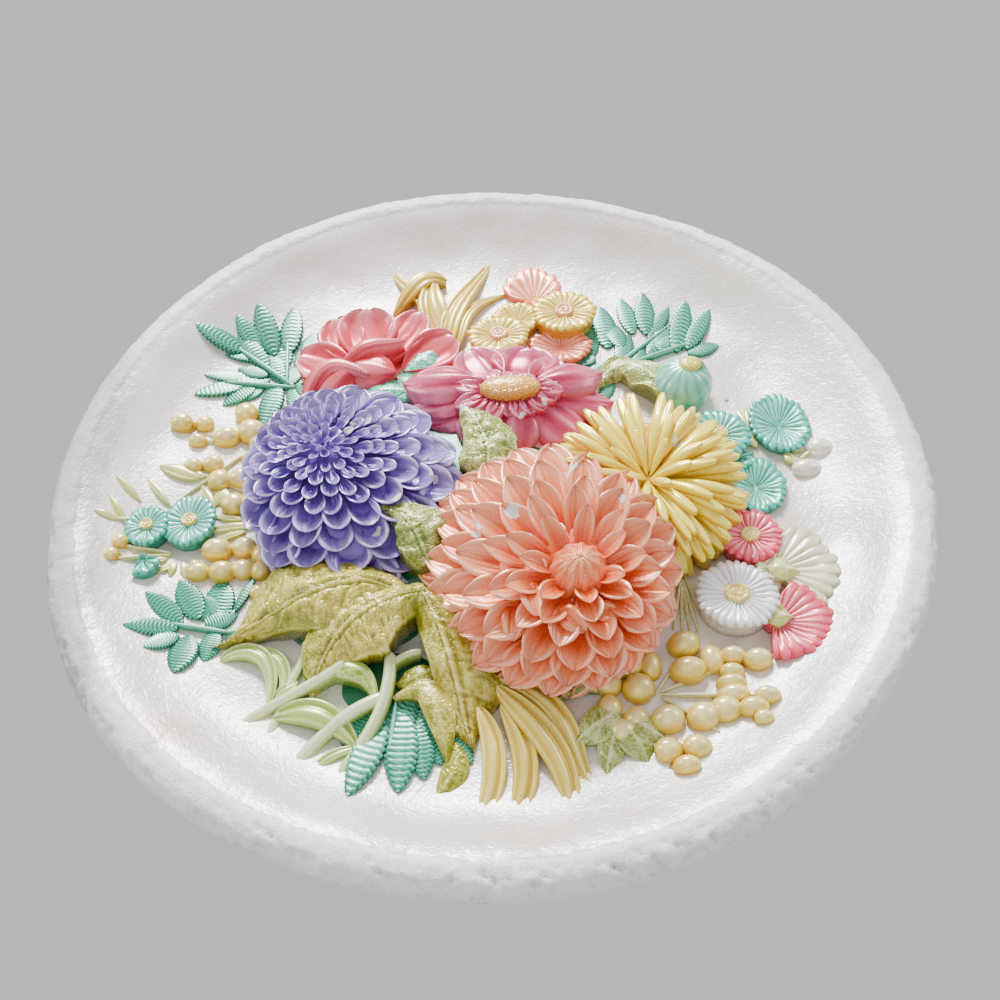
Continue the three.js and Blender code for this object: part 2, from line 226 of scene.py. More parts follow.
def petals(casting, root, bend, tip, face, width, outline, top, thick, rings=14, around=20,
           tint=None, sag=None, floor=None, pucker=None, second=None):
    """Petals, leaves and blades: P(u, a) = spine(u) + side * w(u) * cos a + up * h(a, u).

    The spine is a quadratic curve from root through bend to tip, or a cubic one with a second
    bend; side lies across it, square to face. w is half of width * outline(u, t), with t = cos a.
    Over the top half, h is width * top(t, u); over the under half it is -thick * sqrt(1 - t^2) *
    outline. sag(t, u), a share of the width, bends both halves down at the edges. With floor,
    the under half runs down to that height instead, as in a casting from an open mould.
    pucker(points) gives a height in mm and a relief that are added over the top."""
    root, bend, tip, face = (np.atleast_2d(np.asarray(v, float)) for v in (root, bend, tip, face))
    count = len(root)
    face = np.broadcast_to(face, root.shape)
    width = np.broadcast_to(np.asarray(width, float), (count,))[:, None, None]
    thick = np.broadcast_to(np.asarray(thick, float), (count,))[:, None, None]
    tint = random.uniform(0, 1, count) if tint is None else np.broadcast_to(tint, (count,))
    u = ring_shares(rings)
    a = 2 * np.pi * np.arange(around) / around
    uu, tt = np.broadcast_arrays(u[:, None], np.cos(a)[None, :])
    upper = np.sin(a) > -1e-6
    late = bend if second is None else np.atleast_2d(np.asarray(second, float))
    first = (root + 2 * bend) / 3 if second is None else bend
    late = (tip + 2 * bend) / 3 if second is None else late
    u1 = u[None, :, None]
    root_, first_, late_, tip_ = root[:, None], first[:, None], late[:, None], tip[:, None]
    spine = ((1 - u1)**3 * root_ + 3 * u1 * (1 - u1)**2 * first_ + 3 * u1**2 * (1 - u1) * late_
             + u1**3 * tip_)
    ahead = unit((1 - u1)**2 * (first_ - root_) + 2 * u1 * (1 - u1) * (late_ - first_)
                 + u1**2 * (tip_ - late_))
    side = unit(np.cross(ahead, face[:, None]))
    up = np.cross(side, ahead)
    height, relief = top(tt, uu)
    shape = outline(uu, tt)
    bow = np.sqrt(np.maximum(1 - tt**2, 0))
    lift = np.where(upper, height * width, -thick * bow * shape)
    if sag is not None:
        lift = lift + sag(tt, uu) * width
    across = width / 2 * shape * tt
    points = spine[:, :, None] + side[:, :, None] * across[..., None] + up[:, :, None] * lift[..., None]
    if pucker:
        rise, mark = pucker(points)
        points[..., 2] += rise * upper * bow**0.5
        relief = relief + mark * bow**0.5
    if floor is not None:
        drop = np.minimum(floor - points[..., 2], 0)
        points[..., 2] += drop * np.clip(bow * 1.6, 0, 1) * ~upper
    # the under half gets a low relief: painted shade on the undersides and on the walls down to the floor
    relief = np.where(upper, relief, 0.08)
    casting.add(points, root, tip, relief=relief, along=uu, across=tt, tint=tint[:, None, None])


def turned(casting, x, z, profile, around, tilt=(0, 0), stretch=(1, 1), relief=0.5, shape=None, tint=0.5,
           lean_from=None):
    """A form turned about an axis that stands out of the face: rings of radius r at height n.
    The axis leans by tilt per mm above lean_from, stretch makes rings oval, and shape(angle,
    share) gives a factor on the radius, an added height and the relief."""
    profile = np.array(profile, float)
    angle = -2 * np.pi * np.arange(around) / around
    share = np.linspace(0, 1, len(profile))[:, None]
    r, n = profile[1:-1, 0][:, None], profile[1:-1, 1][:, None]
    factor, added, mark = shape(angle[None], share[1:-1]) if shape else (1.0, 0.0, relief)
    foot = profile[0, 1] if lean_from is None else lean_from
    r = r * factor
    n = n + added + 0 * angle[None]
    rise = np.maximum(n - foot, 0)
    rings = np.stack([x + stretch[0] * r * np.cos(angle) + tilt[0] * rise,
                      z + stretch[1] * r * np.sin(angle) + tilt[1] * rise, n + 0 * r], -1)
    height = profile[-1, 1] - foot
    start = np.array([[x, z, profile[0, 1]]])
    end = np.array([[x + tilt[0] * height, z + tilt[1] * height, profile[-1, 1]]])
    casting.add(rings[None], start, end, relief=mark, along=share[1:-1] + 0 * angle[None],
                across=np.cos(angle)[None] + 0 * r, tint=tint)


def on_dome(flower, tilt, turn, scale=1.0):
    """Points of a domed flower: tilt down from the eye, turn round it, in degrees. The ring of
    outer petals is at tilt 90, higher at its top by the flower's rise."""
    tilt, turn = np.broadcast_arrays(np.radians(tilt), np.radians(turn))
    flat, up = np.sin(tilt) * scale, np.cos(tilt)
    return np.stack([flower["x"] + flower["rx"] * flat * np.cos(turn) + flower["lean_x"] * up,
                     flower["z"] + flower["rz"] * flat * np.sin(turn) + flower["lean_z"] * up,
                     flower["ring"] + flower["height"] * up * scale + flower["rise"] * flat * np.sin(turn)],
                    -1)


def dome_normal(flower, tilt, turn):
    """Outward direction of a domed flower at a tilt and turn."""
    step = 1.0
    down = on_dome(flower, tilt + step, turn) - on_dome(flower, tilt - step, turn)
    round_ = (on_dome(flower, np.maximum(tilt, 8), turn + step)
              - on_dome(flower, np.maximum(tilt, 8), turn - step))
    return unit(np.cross(down, round_))


# ---- paints ----

class Value:
    """A socket of a material's nodes, so that shader maths can be written as expressions."""

    def __init__(self, tree, socket):
        self.tree, self.socket = tree, socket

    def node(self, kind, settings=None, inputs=None, output=0):
        """Any other node: its type, its settings, and the values or links of its sockets."""
        made = self.tree.nodes.new(kind)
        for key, value in (settings or {}).items():
            if key == "stops":
                ramp = made.color_ramp
                while len(ramp.elements) < len(value):
                    ramp.elements.new(0.5)
                for element, (position, colour) in zip(ramp.elements, value):
                    element.position, element.color = position, (*colour, 1)
            else:
                setattr(made, key, value)
        for key, value in (inputs or {}).items():
            if isinstance(value, Value):
                self.tree.links.new(value.socket, made.inputs[key])
            else:
                made.inputs[key].default_value = value
        return Value(self.tree, made.outputs[output])

    def noise(self, scale, detail, **more):
        """Noise over this place."""
        return self.node("ShaderNodeTexNoise", None,
                         {"Vector": self, "Scale": scale, "Detail": detail, **more})

    def net(self, feature, scale, output=0):
        """Voronoi cells over this place."""
        return self.node("ShaderNodeTexVoronoi", {"feature": feature}, {"Vector": self, "Scale": scale},
                         output)

    def math(self, operation, *others):
        values = dict(enumerate((self, *others)))
        return self.node("ShaderNodeMath", {"operation": operation}, values)

    def __add__(self, other):
        return self.math("ADD", other)

    def __sub__(self, other):
        return self.math("SUBTRACT", other)

    def __mul__(self, other):
        return self.math("MULTIPLY", other)

    def __rsub__(self, other):
        return (self * -1) + other

    __radd__ = __add__
    __rmul__ = __mul__

    def between(self, low, high):
        """0 below low, 1 above high, smooth between."""
        return self.node("ShaderNodeMapRange", {"interpolation_type": "SMOOTHSTEP"},
                         {"Value": self, "From Min": low, "From Max": high})

    def mix(self, first, second, blend="MIX"):
        """A mix of two colours by this factor."""
        inputs = {0: self}
        inputs.update({6: first if isinstance(first, Value) else (*first, 1),
                       7: second if isinstance(second, Value) else (*second, 1)})
        return self.node("ShaderNodeMix", {"data_type": "RGBA", "blend_type": blend}, inputs, 2)

    def ramp(self, *stops):
        """A colour ramp of (position, colour) stops over this value."""
        return self.node("ShaderNodeValToRGB", {"stops": stops}, {0: self})


def linear(red, green, blue):
    """An sRGB colour in 0 to 255 as linear values."""
    value = np.array([red, green, blue]) / 255
    return tuple(np.where(value <= 0.04045, value / 12.92, ((value + 0.055) / 1.055) ** 2.4).tolist())


def new_paint(name):
    """A material that uses nodes, and its Principled shader node."""
    paint = bpy.data.materials.new(name)
    paint.use_nodes = True
    return paint, paint.node_tree.nodes["Principled BSDF"]


def marks_of(paint, *words):
    """The place on the object, then each of the marks named, as values."""
    start = Value(paint.node_tree, None)
    spot = start.node("ShaderNodeTexCoord", output=3)
    return [spot, *(start.node("ShaderNodeAttribute", {"attribute_name": word}, output=2) for word in words)]


def finish(shader, colour, gloss, metal, height, bumps, coat):
    """Feeds a paint's shader: colour, roughness, metal and height, which makes the bumps of the
    given strength and depth in metres, and sets its coat's weight and roughness."""
    normal = height.node("ShaderNodeBump", None,
                         {"Height": height, "Strength": bumps[0], "Distance": bumps[1]})
    for name, value in (("Base Color", colour), ("Roughness", gloss), ("Metallic", metal),
                        ("Normal", normal)):
        value.tree.links.new(value.socket, shader.inputs[name])
    shader.inputs["Coat Weight"].default_value, shader.inputs["Coat Roughness"].default_value = coat


def pearl(name, deep, middle, light, metal=0.2, rough=0.28, grain=0.3, lines=0.0, line_size=60.0,
          hue=None, hue_amount=0.0, wrinkle=0.0, stipple=None, speckle=0.06):
    """Pearl paint over plaster, from deep through middle to light with the relief mark: painted
    shade in the crevices and a painted highlight on the ridges, rubbed through to bare plaster
    where the marks say. lines are brushed streaks along the petals, wrinkle a net of fine creases
    and stipple raised dots, in dots to the metre."""
    paint, shader = new_paint(name)
    spot, relief, across, tint, bare = marks_of(paint, "relief", "across", "tint", "bare")
    cloud, fine = spot.noise(160.0, 4.0), spot.noise(1100.0, 3.0)
    # depth is the relief with random tone over it; the ramp below paints shade where it is low and a
    # highlight where it is high
    depth = relief + (cloud - 0.5) * 0.14 + (fine - 0.5) * speckle + (tint - 0.5) * 0.16
    height = fine * 0.25 * grain + cloud * 0.5 * grain
    if wrinkle:
        warped = spot.node("ShaderNodeVectorMath", {"operation": "ADD"}, {0: spot, 1: cloud * 0.004})
        crease = warped.net("DISTANCE_TO_EDGE", 620.0).between(0.0, 0.3)
        # painted shade along the creases
        depth = depth + (crease - 0.7) * 0.14 * wrinkle
        height = height + crease * 0.5 * wrinkle
    if stipple:
        rise = 1 - spot.net("F1", stipple).between(0.1, 0.6)
        # painted highlight on the raised dots, painted shade between them
        depth = depth + (rise - 0.5) * 0.5
        height = height + rise * 1.2
    if lines:
        stripe = (across * line_size + (cloud - 0.5) * 5.0).math("SINE") * (tint * 0.5 + 0.5)
        height = height + stripe * lines
        # the streaks' crests painted lighter: painted highlight
        depth = depth + stripe * 0.06
    colour = depth.ramp((0.02, linear(*deep)), (0.42, linear(*middle)), (1.0, linear(*light)))
    if hue is not None:
        patch = spot.noise(48.0, 2.0).between(0.42, 0.62) * hue_amount
        colour = patch.mix(colour, linear(*hue), "MULTIPLY")
    off = (bare + (fine - 0.5) * 0.9 + (cloud - 0.5) * 1.6).between(0.55, 0.62)
    colour = off.mix(colour, linear(236, 232, 226))
    gloss = (fine - 0.5) * 0.16 + rough + off * 0.35
    finish(shader, colour, gloss, (1 - off) * metal, height - off * 0.6, (0.5, 0.0006), (0.35, 0.16))
    return paint


def scuff_place(spot):
    """The spot moved and scaled so that a scuffed patch at the lower left has radius one."""
    moved = spot.node("ShaderNodeVectorMath", {"operation": "SUBTRACT"},
                      {0: spot, 1: (-0.112, -0.02, -0.112)})
    return spot.node("ShaderNodeVectorMath", {"operation": "MULTIPLY"}, {0: moved, 1: (45.0, 20.0, 60.0)})


def dish_paint():
    """The dish: warm pearl white on the face, rubbed cold white plaster on the rim, pitted,
    speckled and greyed, with a few dark specks and a faint pink scuff at the lower left."""
    paint, shader = new_paint("pearl_white_dish")
    spot, rim, dirt, chip = marks_of(paint, "along", "tint", "bare")
    wide, cloud, fine = spot.noise(22.0, 3.0), spot.noise(130.0, 5.0), spot.noise(900.0, 4.0)
    field = (wide * 0.6 + cloud * 0.4).ramp((0.3, linear(222, 214, 202)), (0.52, linear(232, 227, 218)),
                                            (0.75, linear(242, 239, 234)))
    low_left = spot.node("ShaderNodeTexGradient", {"gradient_type": "SPHERICAL"},
                         {"Vector": scuff_place(spot)})
    scuff = (low_left + (cloud - 0.5) * 1.3).between(0.45, 0.8)
    field = (scuff * 0.45).mix(field, linear(226, 190, 178))
    plaster = (cloud * 0.6 + fine * 0.5).ramp((0.3, linear(196, 196, 198)), (0.5, linear(232, 233, 236)),
                                              (0.8, linear(248, 248, 249)))
    worn = (rim + (cloud - 0.5) * 0.5 + (wide - 0.5) * 0.3).between(0.3, 0.9)
    colour = worn.mix(field, plaster)
    grime = (dirt + (cloud - 0.5) * 0.6 + (fine - 0.5) * 0.6).between(0.5, 0.85)
    colour = (grime * 0.6).mix(colour, linear(150, 148, 146))
    crumbs = (chip + (fine - 0.5) * 0.4).between(0.45, 0.6)
    colour = (crumbs * 0.75).mix(colour, linear(244, 243, 240))
    specks, lots = spot.net("F1", 95.0), spot.net("F1", 95.0, 1)
    right = spot.node("ShaderNodeSeparateXYZ", None, {0: spot}).between(0.03, 0.13)
    chosen = (spot.node("ShaderNodeSeparateColor", None, {0: lots}) + right * 0.12).between(0.985, 0.99)
    pin = (1 - specks.between(0.06, 0.12)) * chosen
    colour = (pin * 0.8).mix(colour, linear(84, 76, 70))
    gloss = worn * 0.24 + 0.31 + (fine - 0.5) * 0.16
    rough = worn * 0.8 + 0.2
    grit, brushed = spot.noise(520.0, 6.0, Roughness=0.7), spot.noise(330.0, 2.0, Distortion=1.6)
    height = cloud * (rough * 0.8) + fine * (rough * 0.4) - pin * 0.5 + brushed * 0.34 + grit * worn * 0.7
    finish(shader, colour, gloss, (1 - worn) * 0.16, height, (0.6, 0.0012), (0.15, 0.3))
    return paint


# ---- the dish ----

def make_dish():
    """The dish turned in one closed profile, from the middle of the back round the rim to the
    middle of the face, then pushed out of round, roughened at the rim, pitted and chipped."""
    back = np.stack([np.linspace(0, BACK_RADIUS, 7)[1:-1], np.zeros(5)], -1)
    under = rounded(RIM[::-1] + [(166.5, 31.5)], 62)
    face = rounded(FACE[::-1], 60)[1:-1]
    profile = np.concatenate([back, under, face])
    angle = -2 * np.pi * np.arange(AROUND_RIM) / AROUND_RIM
    r, n = profile[:, :1], profile[:, 1:]
    slope = unit(np.gradient(profile, axis=0))
    normal_r, normal_n = slope[:, 1:], -slope[:, :1]
    spots = np.stack([r * np.cos(angle), r * np.sin(angle), n + 0 * angle], -1)
    rim = smooth(161, 167, r) * smooth(6, 14, n + (r < 160) * 20) + 0 * angle
    outer = smooth(158, 172, r) * smooth(3, 12, n) + 0 * angle
    lumps = swell(spots, 16, 2) * 0.26 + swell(spots, 7, 3) * 0.16 + swell(spots, 3.0, 4) * 0.2
    front = smooth(13, 14, n) * smooth(176, 150, r)
    dents = (swell(spots, 46, 1) * 0.5 * smooth(60, 150, r) + swell(spots, 15, 6) * 0.07
             + swell(spots, 5, 7) * 0.03)
    push = dents * front + swell(spots, 60, 1) * 0.2 * outer + lumps * np.maximum(rim * 0.35, outer * 0.95)
    bottom_edge = smooth(0.1, -0.9, np.sin(angle))[None]
    crumble = np.maximum(swell(spots, 4.5, 5) - 0.25, 0) * outer * (0.35 + bottom_edge)
    push = push - crumble * 1.1
    chip = np.zeros_like(push)
    draw = np.random.default_rng(23)
    for _ in range(150):
        low = draw.random() < 0.5
        where = -abs(draw.normal(0, 1.1)) - math.pi / 2 if low else draw.uniform(0, 2 * math.pi)
        if draw.random() < 0.5:
            where = -math.pi - where
        at_n, size = draw.uniform(12, 31), draw.uniform(0.7, 2.3)
        centre = np.array([173.5 * math.cos(where), 173.5 * math.sin(where), at_n])
        gap = np.linalg.norm(spots - centre, axis=-1)
        push -= size * 0.45 * bump(gap, 0, size) * outer
        chip += bump(gap, 0, size * 0.9) * outer
    waves = sum(size * np.cos(count * angle - math.radians(phase)) for count, size, phase in WAVES)
    grow = waves[None] * (r / RADIUS) ** 4
    back_face = (n < 0.01) & (r <= BACK_RADIUS + 0.1)
    push = np.where(back_face, 0, push)
    radius = r + grow + normal_r * push
    rings = np.stack([radius * np.cos(angle), radius * np.sin(angle), np.maximum(n + normal_n * push, 0)],
                     -1)
    left = bump(np.cos(angle - math.radians(184)), 1, 0.16)[None]
    grey = (left * smooth(146, 158, r) * smooth(13, 20, n) * 0.75
            + outer * (0.12 + 0.2 * bottom_edge + 0.3 * left))
    grey = grey + np.clip(chip, 0, 1) * 0.3
    casting = Casting()
    casting.add(rings[None], np.array([[0, 0, 0.0]]), np.array([[0, 0, FIELD]]),
                relief=0.5, along=rim, across=0, tint=grey, bare=np.clip(chip, 0, 1))
    casting.make("dish", dish_paint())


# ---- petals' outlines and sections ----

def leaf_outline(widest, sharp=0.8):
    """Half width along a petal: a sine arch whose widest place is moved to the given share."""
    power = math.log(0.5) / math.log(widest)
    return lambda u, t: np.sin(np.pi * np.clip(u, 0, 1) ** power) ** sharp


def curve(values, u):
    """A smooth line through values set out evenly from u = 0 to u = 1, never below nothing."""
    values = np.array(values, float)
    slope = np.gradient(values)
    place_on = np.clip(u, 0, 1) * (len(values) - 1)
    i = np.minimum(place_on.astype(int), len(values) - 2)
    s = place_on - i
    joined = ((2 * s**3 - 3 * s**2 + 1) * values[i] + (s**3 - 2 * s**2 + s) * slope[i]
              + (3 * s**2 - 2 * s**3) * values[i + 1] + (s**3 - s**2) * slope[i + 1])
    return np.maximum(joined, 0)


def toothed(outline, teeth, depth):
    """An outline cut into teeth that point to the tip."""
    return lambda u, t: outline(u, t) * (1 - depth * ((u * teeth) % 1))


def boat(depth=0.2, lip=0.1, at=0.84, crease=0.04):
    """A boat-shaped petal: hollow between rolled edges, with a faint crease down the middle."""
    def top(t, u):
        edge = bump(np.abs(t), at, 0.15) * (1 - t**8)
        hollow = (1 - t**2) * np.sin(np.pi * np.clip(u * 0.9 + 0.1, 0, 1))
        fold = bump(t, 0, 0.12) * smooth(0.1, 0.4, u)
        height = -depth * hollow + lip * edge * smooth(0.05, 0.3, u) - crease * fold
        # painted shade at the root, in the hollow and the crease; painted highlight on the rolled edges and
        # towards the tip
        relief = (0.02 + 0.6 * smooth(0.15, 0.85, u) + 0.5 * edge * smooth(0.2, 0.6, u) - 0.16 * fold
                  - 0.1 * hollow)
        return height, relief
    return top


def rounded_top(grooves, depth, full=0.2, seed=0.0):
    """A full petal with grooves that run along it and fade towards the tip."""
    def top(t, u):
        wave = np.cos(grooves * np.pi * t + seed) * smooth(0.0, 0.25, u) * (1 - t**6) * (1.1 - 0.75 * u)
        edge = bump(np.abs(t), 0.9, 0.1) * (1 - t**8)
        height = full * (1 - t**2) ** 0.7 + depth * wave
        # painted highlight on the groove crests, the edges and towards the tip; painted shade in the grooves
        # and at the root
        relief = 0.26 + 0.36 * wave + 0.3 * smooth(0.15, 0.8, u) + 0.25 * edge - 0.12 * (1 - u)
        return height, relief
    return top


def creased(count, depth, seed=0.0):
    """A broad cupped petal: hollow, with soft folds along it and a rolled edge."""
    def top(t, u):
        fold = np.cos(count * np.pi * t * (0.7 + 0.3 * u) + seed) * smooth(0.02, 0.3, u) * (1 - t**6)
        edge = bump(np.abs(t), 0.88, 0.1) * (1 - t**8)
        far = smooth(0.8, 0.97, u) * (1 - t**4)
        height = -0.13 * (1 - t**2) * np.sin(np.pi * u) + depth * fold + 0.07 * edge + 0.05 * far
        # painted highlight on the fold crests, the rolled edge and the far end; painted shade in the hollow
        # and at the root
        relief = 0.1 + 0.14 * fold + 0.4 * edge + 0.34 * smooth(0.15, 0.9, u) + 0.3 * far
        return height, relief
    return top


def veined(veins, panel=0.022, slant=0.85):
    """A leaf's top: a thin midrib between two furrows, side veins slanting to the tip, and
    puffed panels between them."""
    def top(t, u):
        run = u * veins - slant * np.abs(t) * (1 - 0.35 * u)
        puff = np.abs(np.sin(np.pi * run)) ** 0.6 * smooth(0.04, 0.2, np.abs(t))
        vein = bump(np.sin(np.pi * run), 0, 0.13) * (1 - t**6) * smooth(0.97, 0.8, np.abs(t))
        rib, furrow = bump(t, 0, 0.035), bump(np.abs(t), 0.075, 0.04)
        lip = bump(np.abs(t), 0.95, 0.04)
        height = (panel * puff + 0.014 * vein + 0.03 * rib - 0.012 * furrow + 0.012 * lip) * (1 - t**12)
        # painted highlight on the midrib, veins, lip and puffed panels; painted shade in the furrows
        return height, 0.12 + 0.2 * puff + 0.5 * vein + 0.6 * rib - 0.3 * furrow + 0.4 * lip
    return top


def drape(depth, size=0.0, waves=2.5):
    """A leaf's fall to its edges, as a share of its width, with waves along the edges."""
    def sag(t, u):
        return -depth * np.abs(t) ** 1.7 + size * np.sin(2 * np.pi * waves * u + 2.2 * t) * t**2
    return sag


def quilt(size, rise):
    """Puffed cells of the given size between raised veins, with fine wrinkles over them."""
    def pucker(points):
        flat = points[..., :2] + 0.9 * np.stack([swell(points, 7, 41), swell(points, 7, 42)], -1)
        gap = cells(flat, size, 5)
        puff, vein = smooth(0.1, 0.6, gap), bump(gap, 0, 0.12)
        fine = swell(points, 1.7, 32)
        broad = swell(points, 13, 33)
        height = rise * (1.1 * puff + 0.5 * vein + 0.12 * fine + 0.8 * broad)
        # painted highlight on the puffed cells and raised veins, painted shade in the low places between
        return height, 0.45 * puff - 0.2 + 0.5 * vein + 0.1 * fine
    return pucker


def strap(t, u):
    """A strap leaf: one channel along it between a raised midrib and rolled edges."""
    rib, edge = bump(t, 0.1, 0.14), bump(np.abs(t), 0.84, 0.12) * (1 - t**8)
    channel = bump(t, -0.36, 0.24)
    height = 0.13 * (1 - t**2) + 0.06 * rib + 0.1 * edge - 0.1 * channel
    # painted highlight on the midrib and rolled edges, painted shade in the channel
    return height, 0.28 + 0.5 * rib + 0.55 * edge - 0.2 * channel + 0.1 * (1 - t**2)


# ---- the dahlias and the quilled flower ----

def dome_rows(casting, flower, rows, top, outline, jitter=3.0, twist=8.0, floor=None):
    """Rows of petals round a dome. Each row gives count, tilt of the tips, span back to the
    roots, width, how proud the tips stand, how deep the roots lie, thickness, how far the
    hollow looks back to the eye in degrees, and how far the tips sink, in mm."""
    for index, (count, tilt, span, width, proud, deep, thick, look, sink) in enumerate(rows):
        turn = 360 * (np.arange(count) + 0.5 * (index % 2)) / count + 7 * index
        turn = turn + random.uniform(-jitter, jitter, count)
        lean = tilt + random.uniform(-jitter, jitter, count) * 0.6
        root = on_dome(flower, lean - span, turn, deep)
        bend = on_dome(flower, lean - span * 0.45, turn, 1.05)
        tip = on_dome(flower, lean, turn + random.uniform(-jitter, jitter, count) * 0.5, proud)
        tip[:, 2] -= sink
        face = dome_normal(flower, lean - look, turn)
        swing = np.tan(np.radians(random.uniform(-twist, twist, count)))[:, None]
        face = unit(face + swing * unit(np.cross(tip - root, face)))
        size = width * random.uniform(0.9, 1.1, count)
        petals(casting, root, bend, tip, face, size, outline, top, thick, rings=13, around=24,
               floor=floor if tilt > 88 else None)


def core(casting, flower, share, floor=SUNK):
    """The mass under a domed flower's petals: straight sides up to its ring, then a dome."""
    steps = np.radians(np.linspace(0, 90, 10))
    profile = [(0, floor), (flower["rx"] * share, floor), (flower["rx"] * share, flower["ring"] - 1)]
    profile += [(flower["rx"] * share * math.cos(s),
                 flower["ring"] + flower["height"] * share * math.sin(s)) for s in steps]

    # its relief is nothing all over, so it takes the paint's deepest colour: painted shade in the gaps
    # between the petals
    def slope(angle, along):
        high = smooth(0.1, 0.2, along)
        return (1 + 0 * angle * along, flower["rise"] * share * np.sin(angle) * high * (1 - along**3),
                0 * angle * along)
    lean = (flower["lean_x"] / flower["height"], flower["lean_z"] / flower["height"])
    turned(casting, flower["x"], flower["z"], profile, 44, lean, (1, flower["rz"] / flower["rx"]),
           shape=slope, lean_from=flower["ring"])


def make_coral():
    """Coral dahlia: seven rows of boat-shaped pointed petals round a closed bud, with a few
    curled petals below the bud."""
    casting = Casting()
    core(casting, CORAL, 0.82)
    rows = [
        (23, 97, 34, 16, 1.06, 0.6, 3.4, 6, 2.5), (22, 88, 34, 16.5, 1.08, 0.62, 3.4, 10, 0.5),
        (20, 76, 30, 16, 1.09, 0.66, 3.2, 14, 0), (18, 64, 28, 15, 1.1, 0.68, 3.0, 17, 0),
        (15, 52, 26, 13.5, 1.1, 0.68, 2.8, 20, 0), (12, 41, 24, 12, 1.1, 0.68, 2.6, 24, 0),
        (9, 31, 20, 10, 1.1, 0.66, 2.4, 30, -1), (7, 23, 16, 8, 1.1, 0.7, 2.2, 36, -1),
    ]
    dome_rows(casting, CORAL, rows, boat(0.17, 0.11), leaf_outline(0.55, 0.72), twist=12, floor=FIELD)
    bud = dict(x=CORAL["x"] + CORAL["lean_x"], z=CORAL["z"] + CORAL["lean_z"] + 1, rx=9.6, rz=9.2, lean_x=1,
               lean_z=-2, ring=43, rise=1, height=11.5)
    bud_rows = [(11, 100, 70, 6.4, 1.06, 0.92, 1.8, 0, 0), (10, 66, 54, 5.6, 1.08, 0.92, 1.6, 0, 0),
                (8, 40, 36, 4.6, 1.08, 0.92, 1.5, 0, 0), (5, 20, 18, 3.6, 1.1, 0.95, 1.4, 0, 0)]
    core(casting, bud, 0.95, 30.0)
    ball = rounded_top(2, 0.05, 0.24)
    for count, tilt, reach, width, proud, deep, thick, look, sink in bud_rows:
        turn = 360 * np.arange(count) / count + 9 * tilt
        root, tip = on_dome(bud, tilt, turn, 0.98), on_dome(bud, tilt - reach, turn, 1.1)
        bend = on_dome(bud, tilt - reach * 0.5, turn, 1.2)
        petals(casting, root, bend, tip, dome_normal(bud, tilt - reach * 0.5, turn), width,
               leaf_outline(0.45, 0.6), ball, thick, rings=11, around=18)
    curls = np.array([(12, -71, 46, 15, -86, 47, 8.5), (22, -84, 46, 31, -90, 42, 9),
                      (9, -62, 46, 19, -68, 49, 8), (33, -84, 44, 43, -84, 42, 7.5),
                      (8, -78, 42, 6, -90, 38, 9), (41, -77, 44, 45, -68, 43, 7)])
    root, tip, width = curls[:, :3], curls[:, 3:6], curls[:, 6]
    petals(casting, root, (root + tip) / 2 + [0, 0, 5.0], tip, (0.0, -0.35, 1.0), width,
           leaf_outline(0.5, 0.5), boat(0.05, 0.12, 0.7), 4.5, rings=14, around=22)
    paint = pearl("coral_pearl", (222, 84, 26), (248, 136, 84), (255, 186, 152), lines=0.34, line_size=17.0)
    casting.make("coral_dahlia", paint,
                 chips=[(31, -23, 2.6), (8, -44.5, 2.8), (-5, -48, 2.4), (48, -40, 1.4), (15, -57, 1.2)])


def make_purple():
    """Purple dahlia: a ball of cupped petals, tiny at the eye and broad at the foot."""
    casting = Casting()
    core(casting, PURPLE, 0.84)
    rows = [
        (14, 98, 30, 21, 1.08, 0.62, 5.0, 30, 3), (14, 86, 28, 20, 1.09, 0.66, 4.6, 34, 0.5),
        (15, 73, 24, 17, 1.1, 0.7, 4.0, 38, 0), (15, 61, 21, 14.5, 1.1, 0.72, 3.4, 40, 0),
        (16, 50, 17, 11.5, 1.1, 0.76, 2.8, 42, 0), (17, 40.5, 13, 8.6, 1.09, 0.82, 2.2, 42, 0),
        (17, 32.5, 10, 6.6, 1.09, 0.86, 1.7, 40, 0), (16, 25.5, 9, 5.2, 1.08, 0.9, 1.4, 36, 0),
        (13, 19, 8, 4.2, 1.08, 0.92, 1.2, 34, 0), (9, 12.5, 7, 3.5, 1.08, 0.94, 1.0, 30, 0),
        (5, 6.5, 6, 3, 1.09, 0.95, 1.0, 24, 0),
    ]
    dome_rows(casting, PURPLE, rows, boat(0.28, 0.1, 0.86, 0.0), leaf_outline(0.6, 0.5), twist=16,
              floor=FIELD)
    paint = pearl("purple_pearl", (96, 62, 160), (142, 118, 200), (198, 186, 228), lines=0.24,
                  line_size=13.0)
    casting.make("purple_dahlia", paint, chips=[(-53, 5, 3.2), (-40, 14, 2.2), (-47, 9, 2.0),
                                                (-34, -26, 2.6), (-30, -33, 2.4), (-43, -37, 2.4),
                                                (-21, -12, 2.0), (-69, -27, 1.6), (-62, -40, 1.2)])


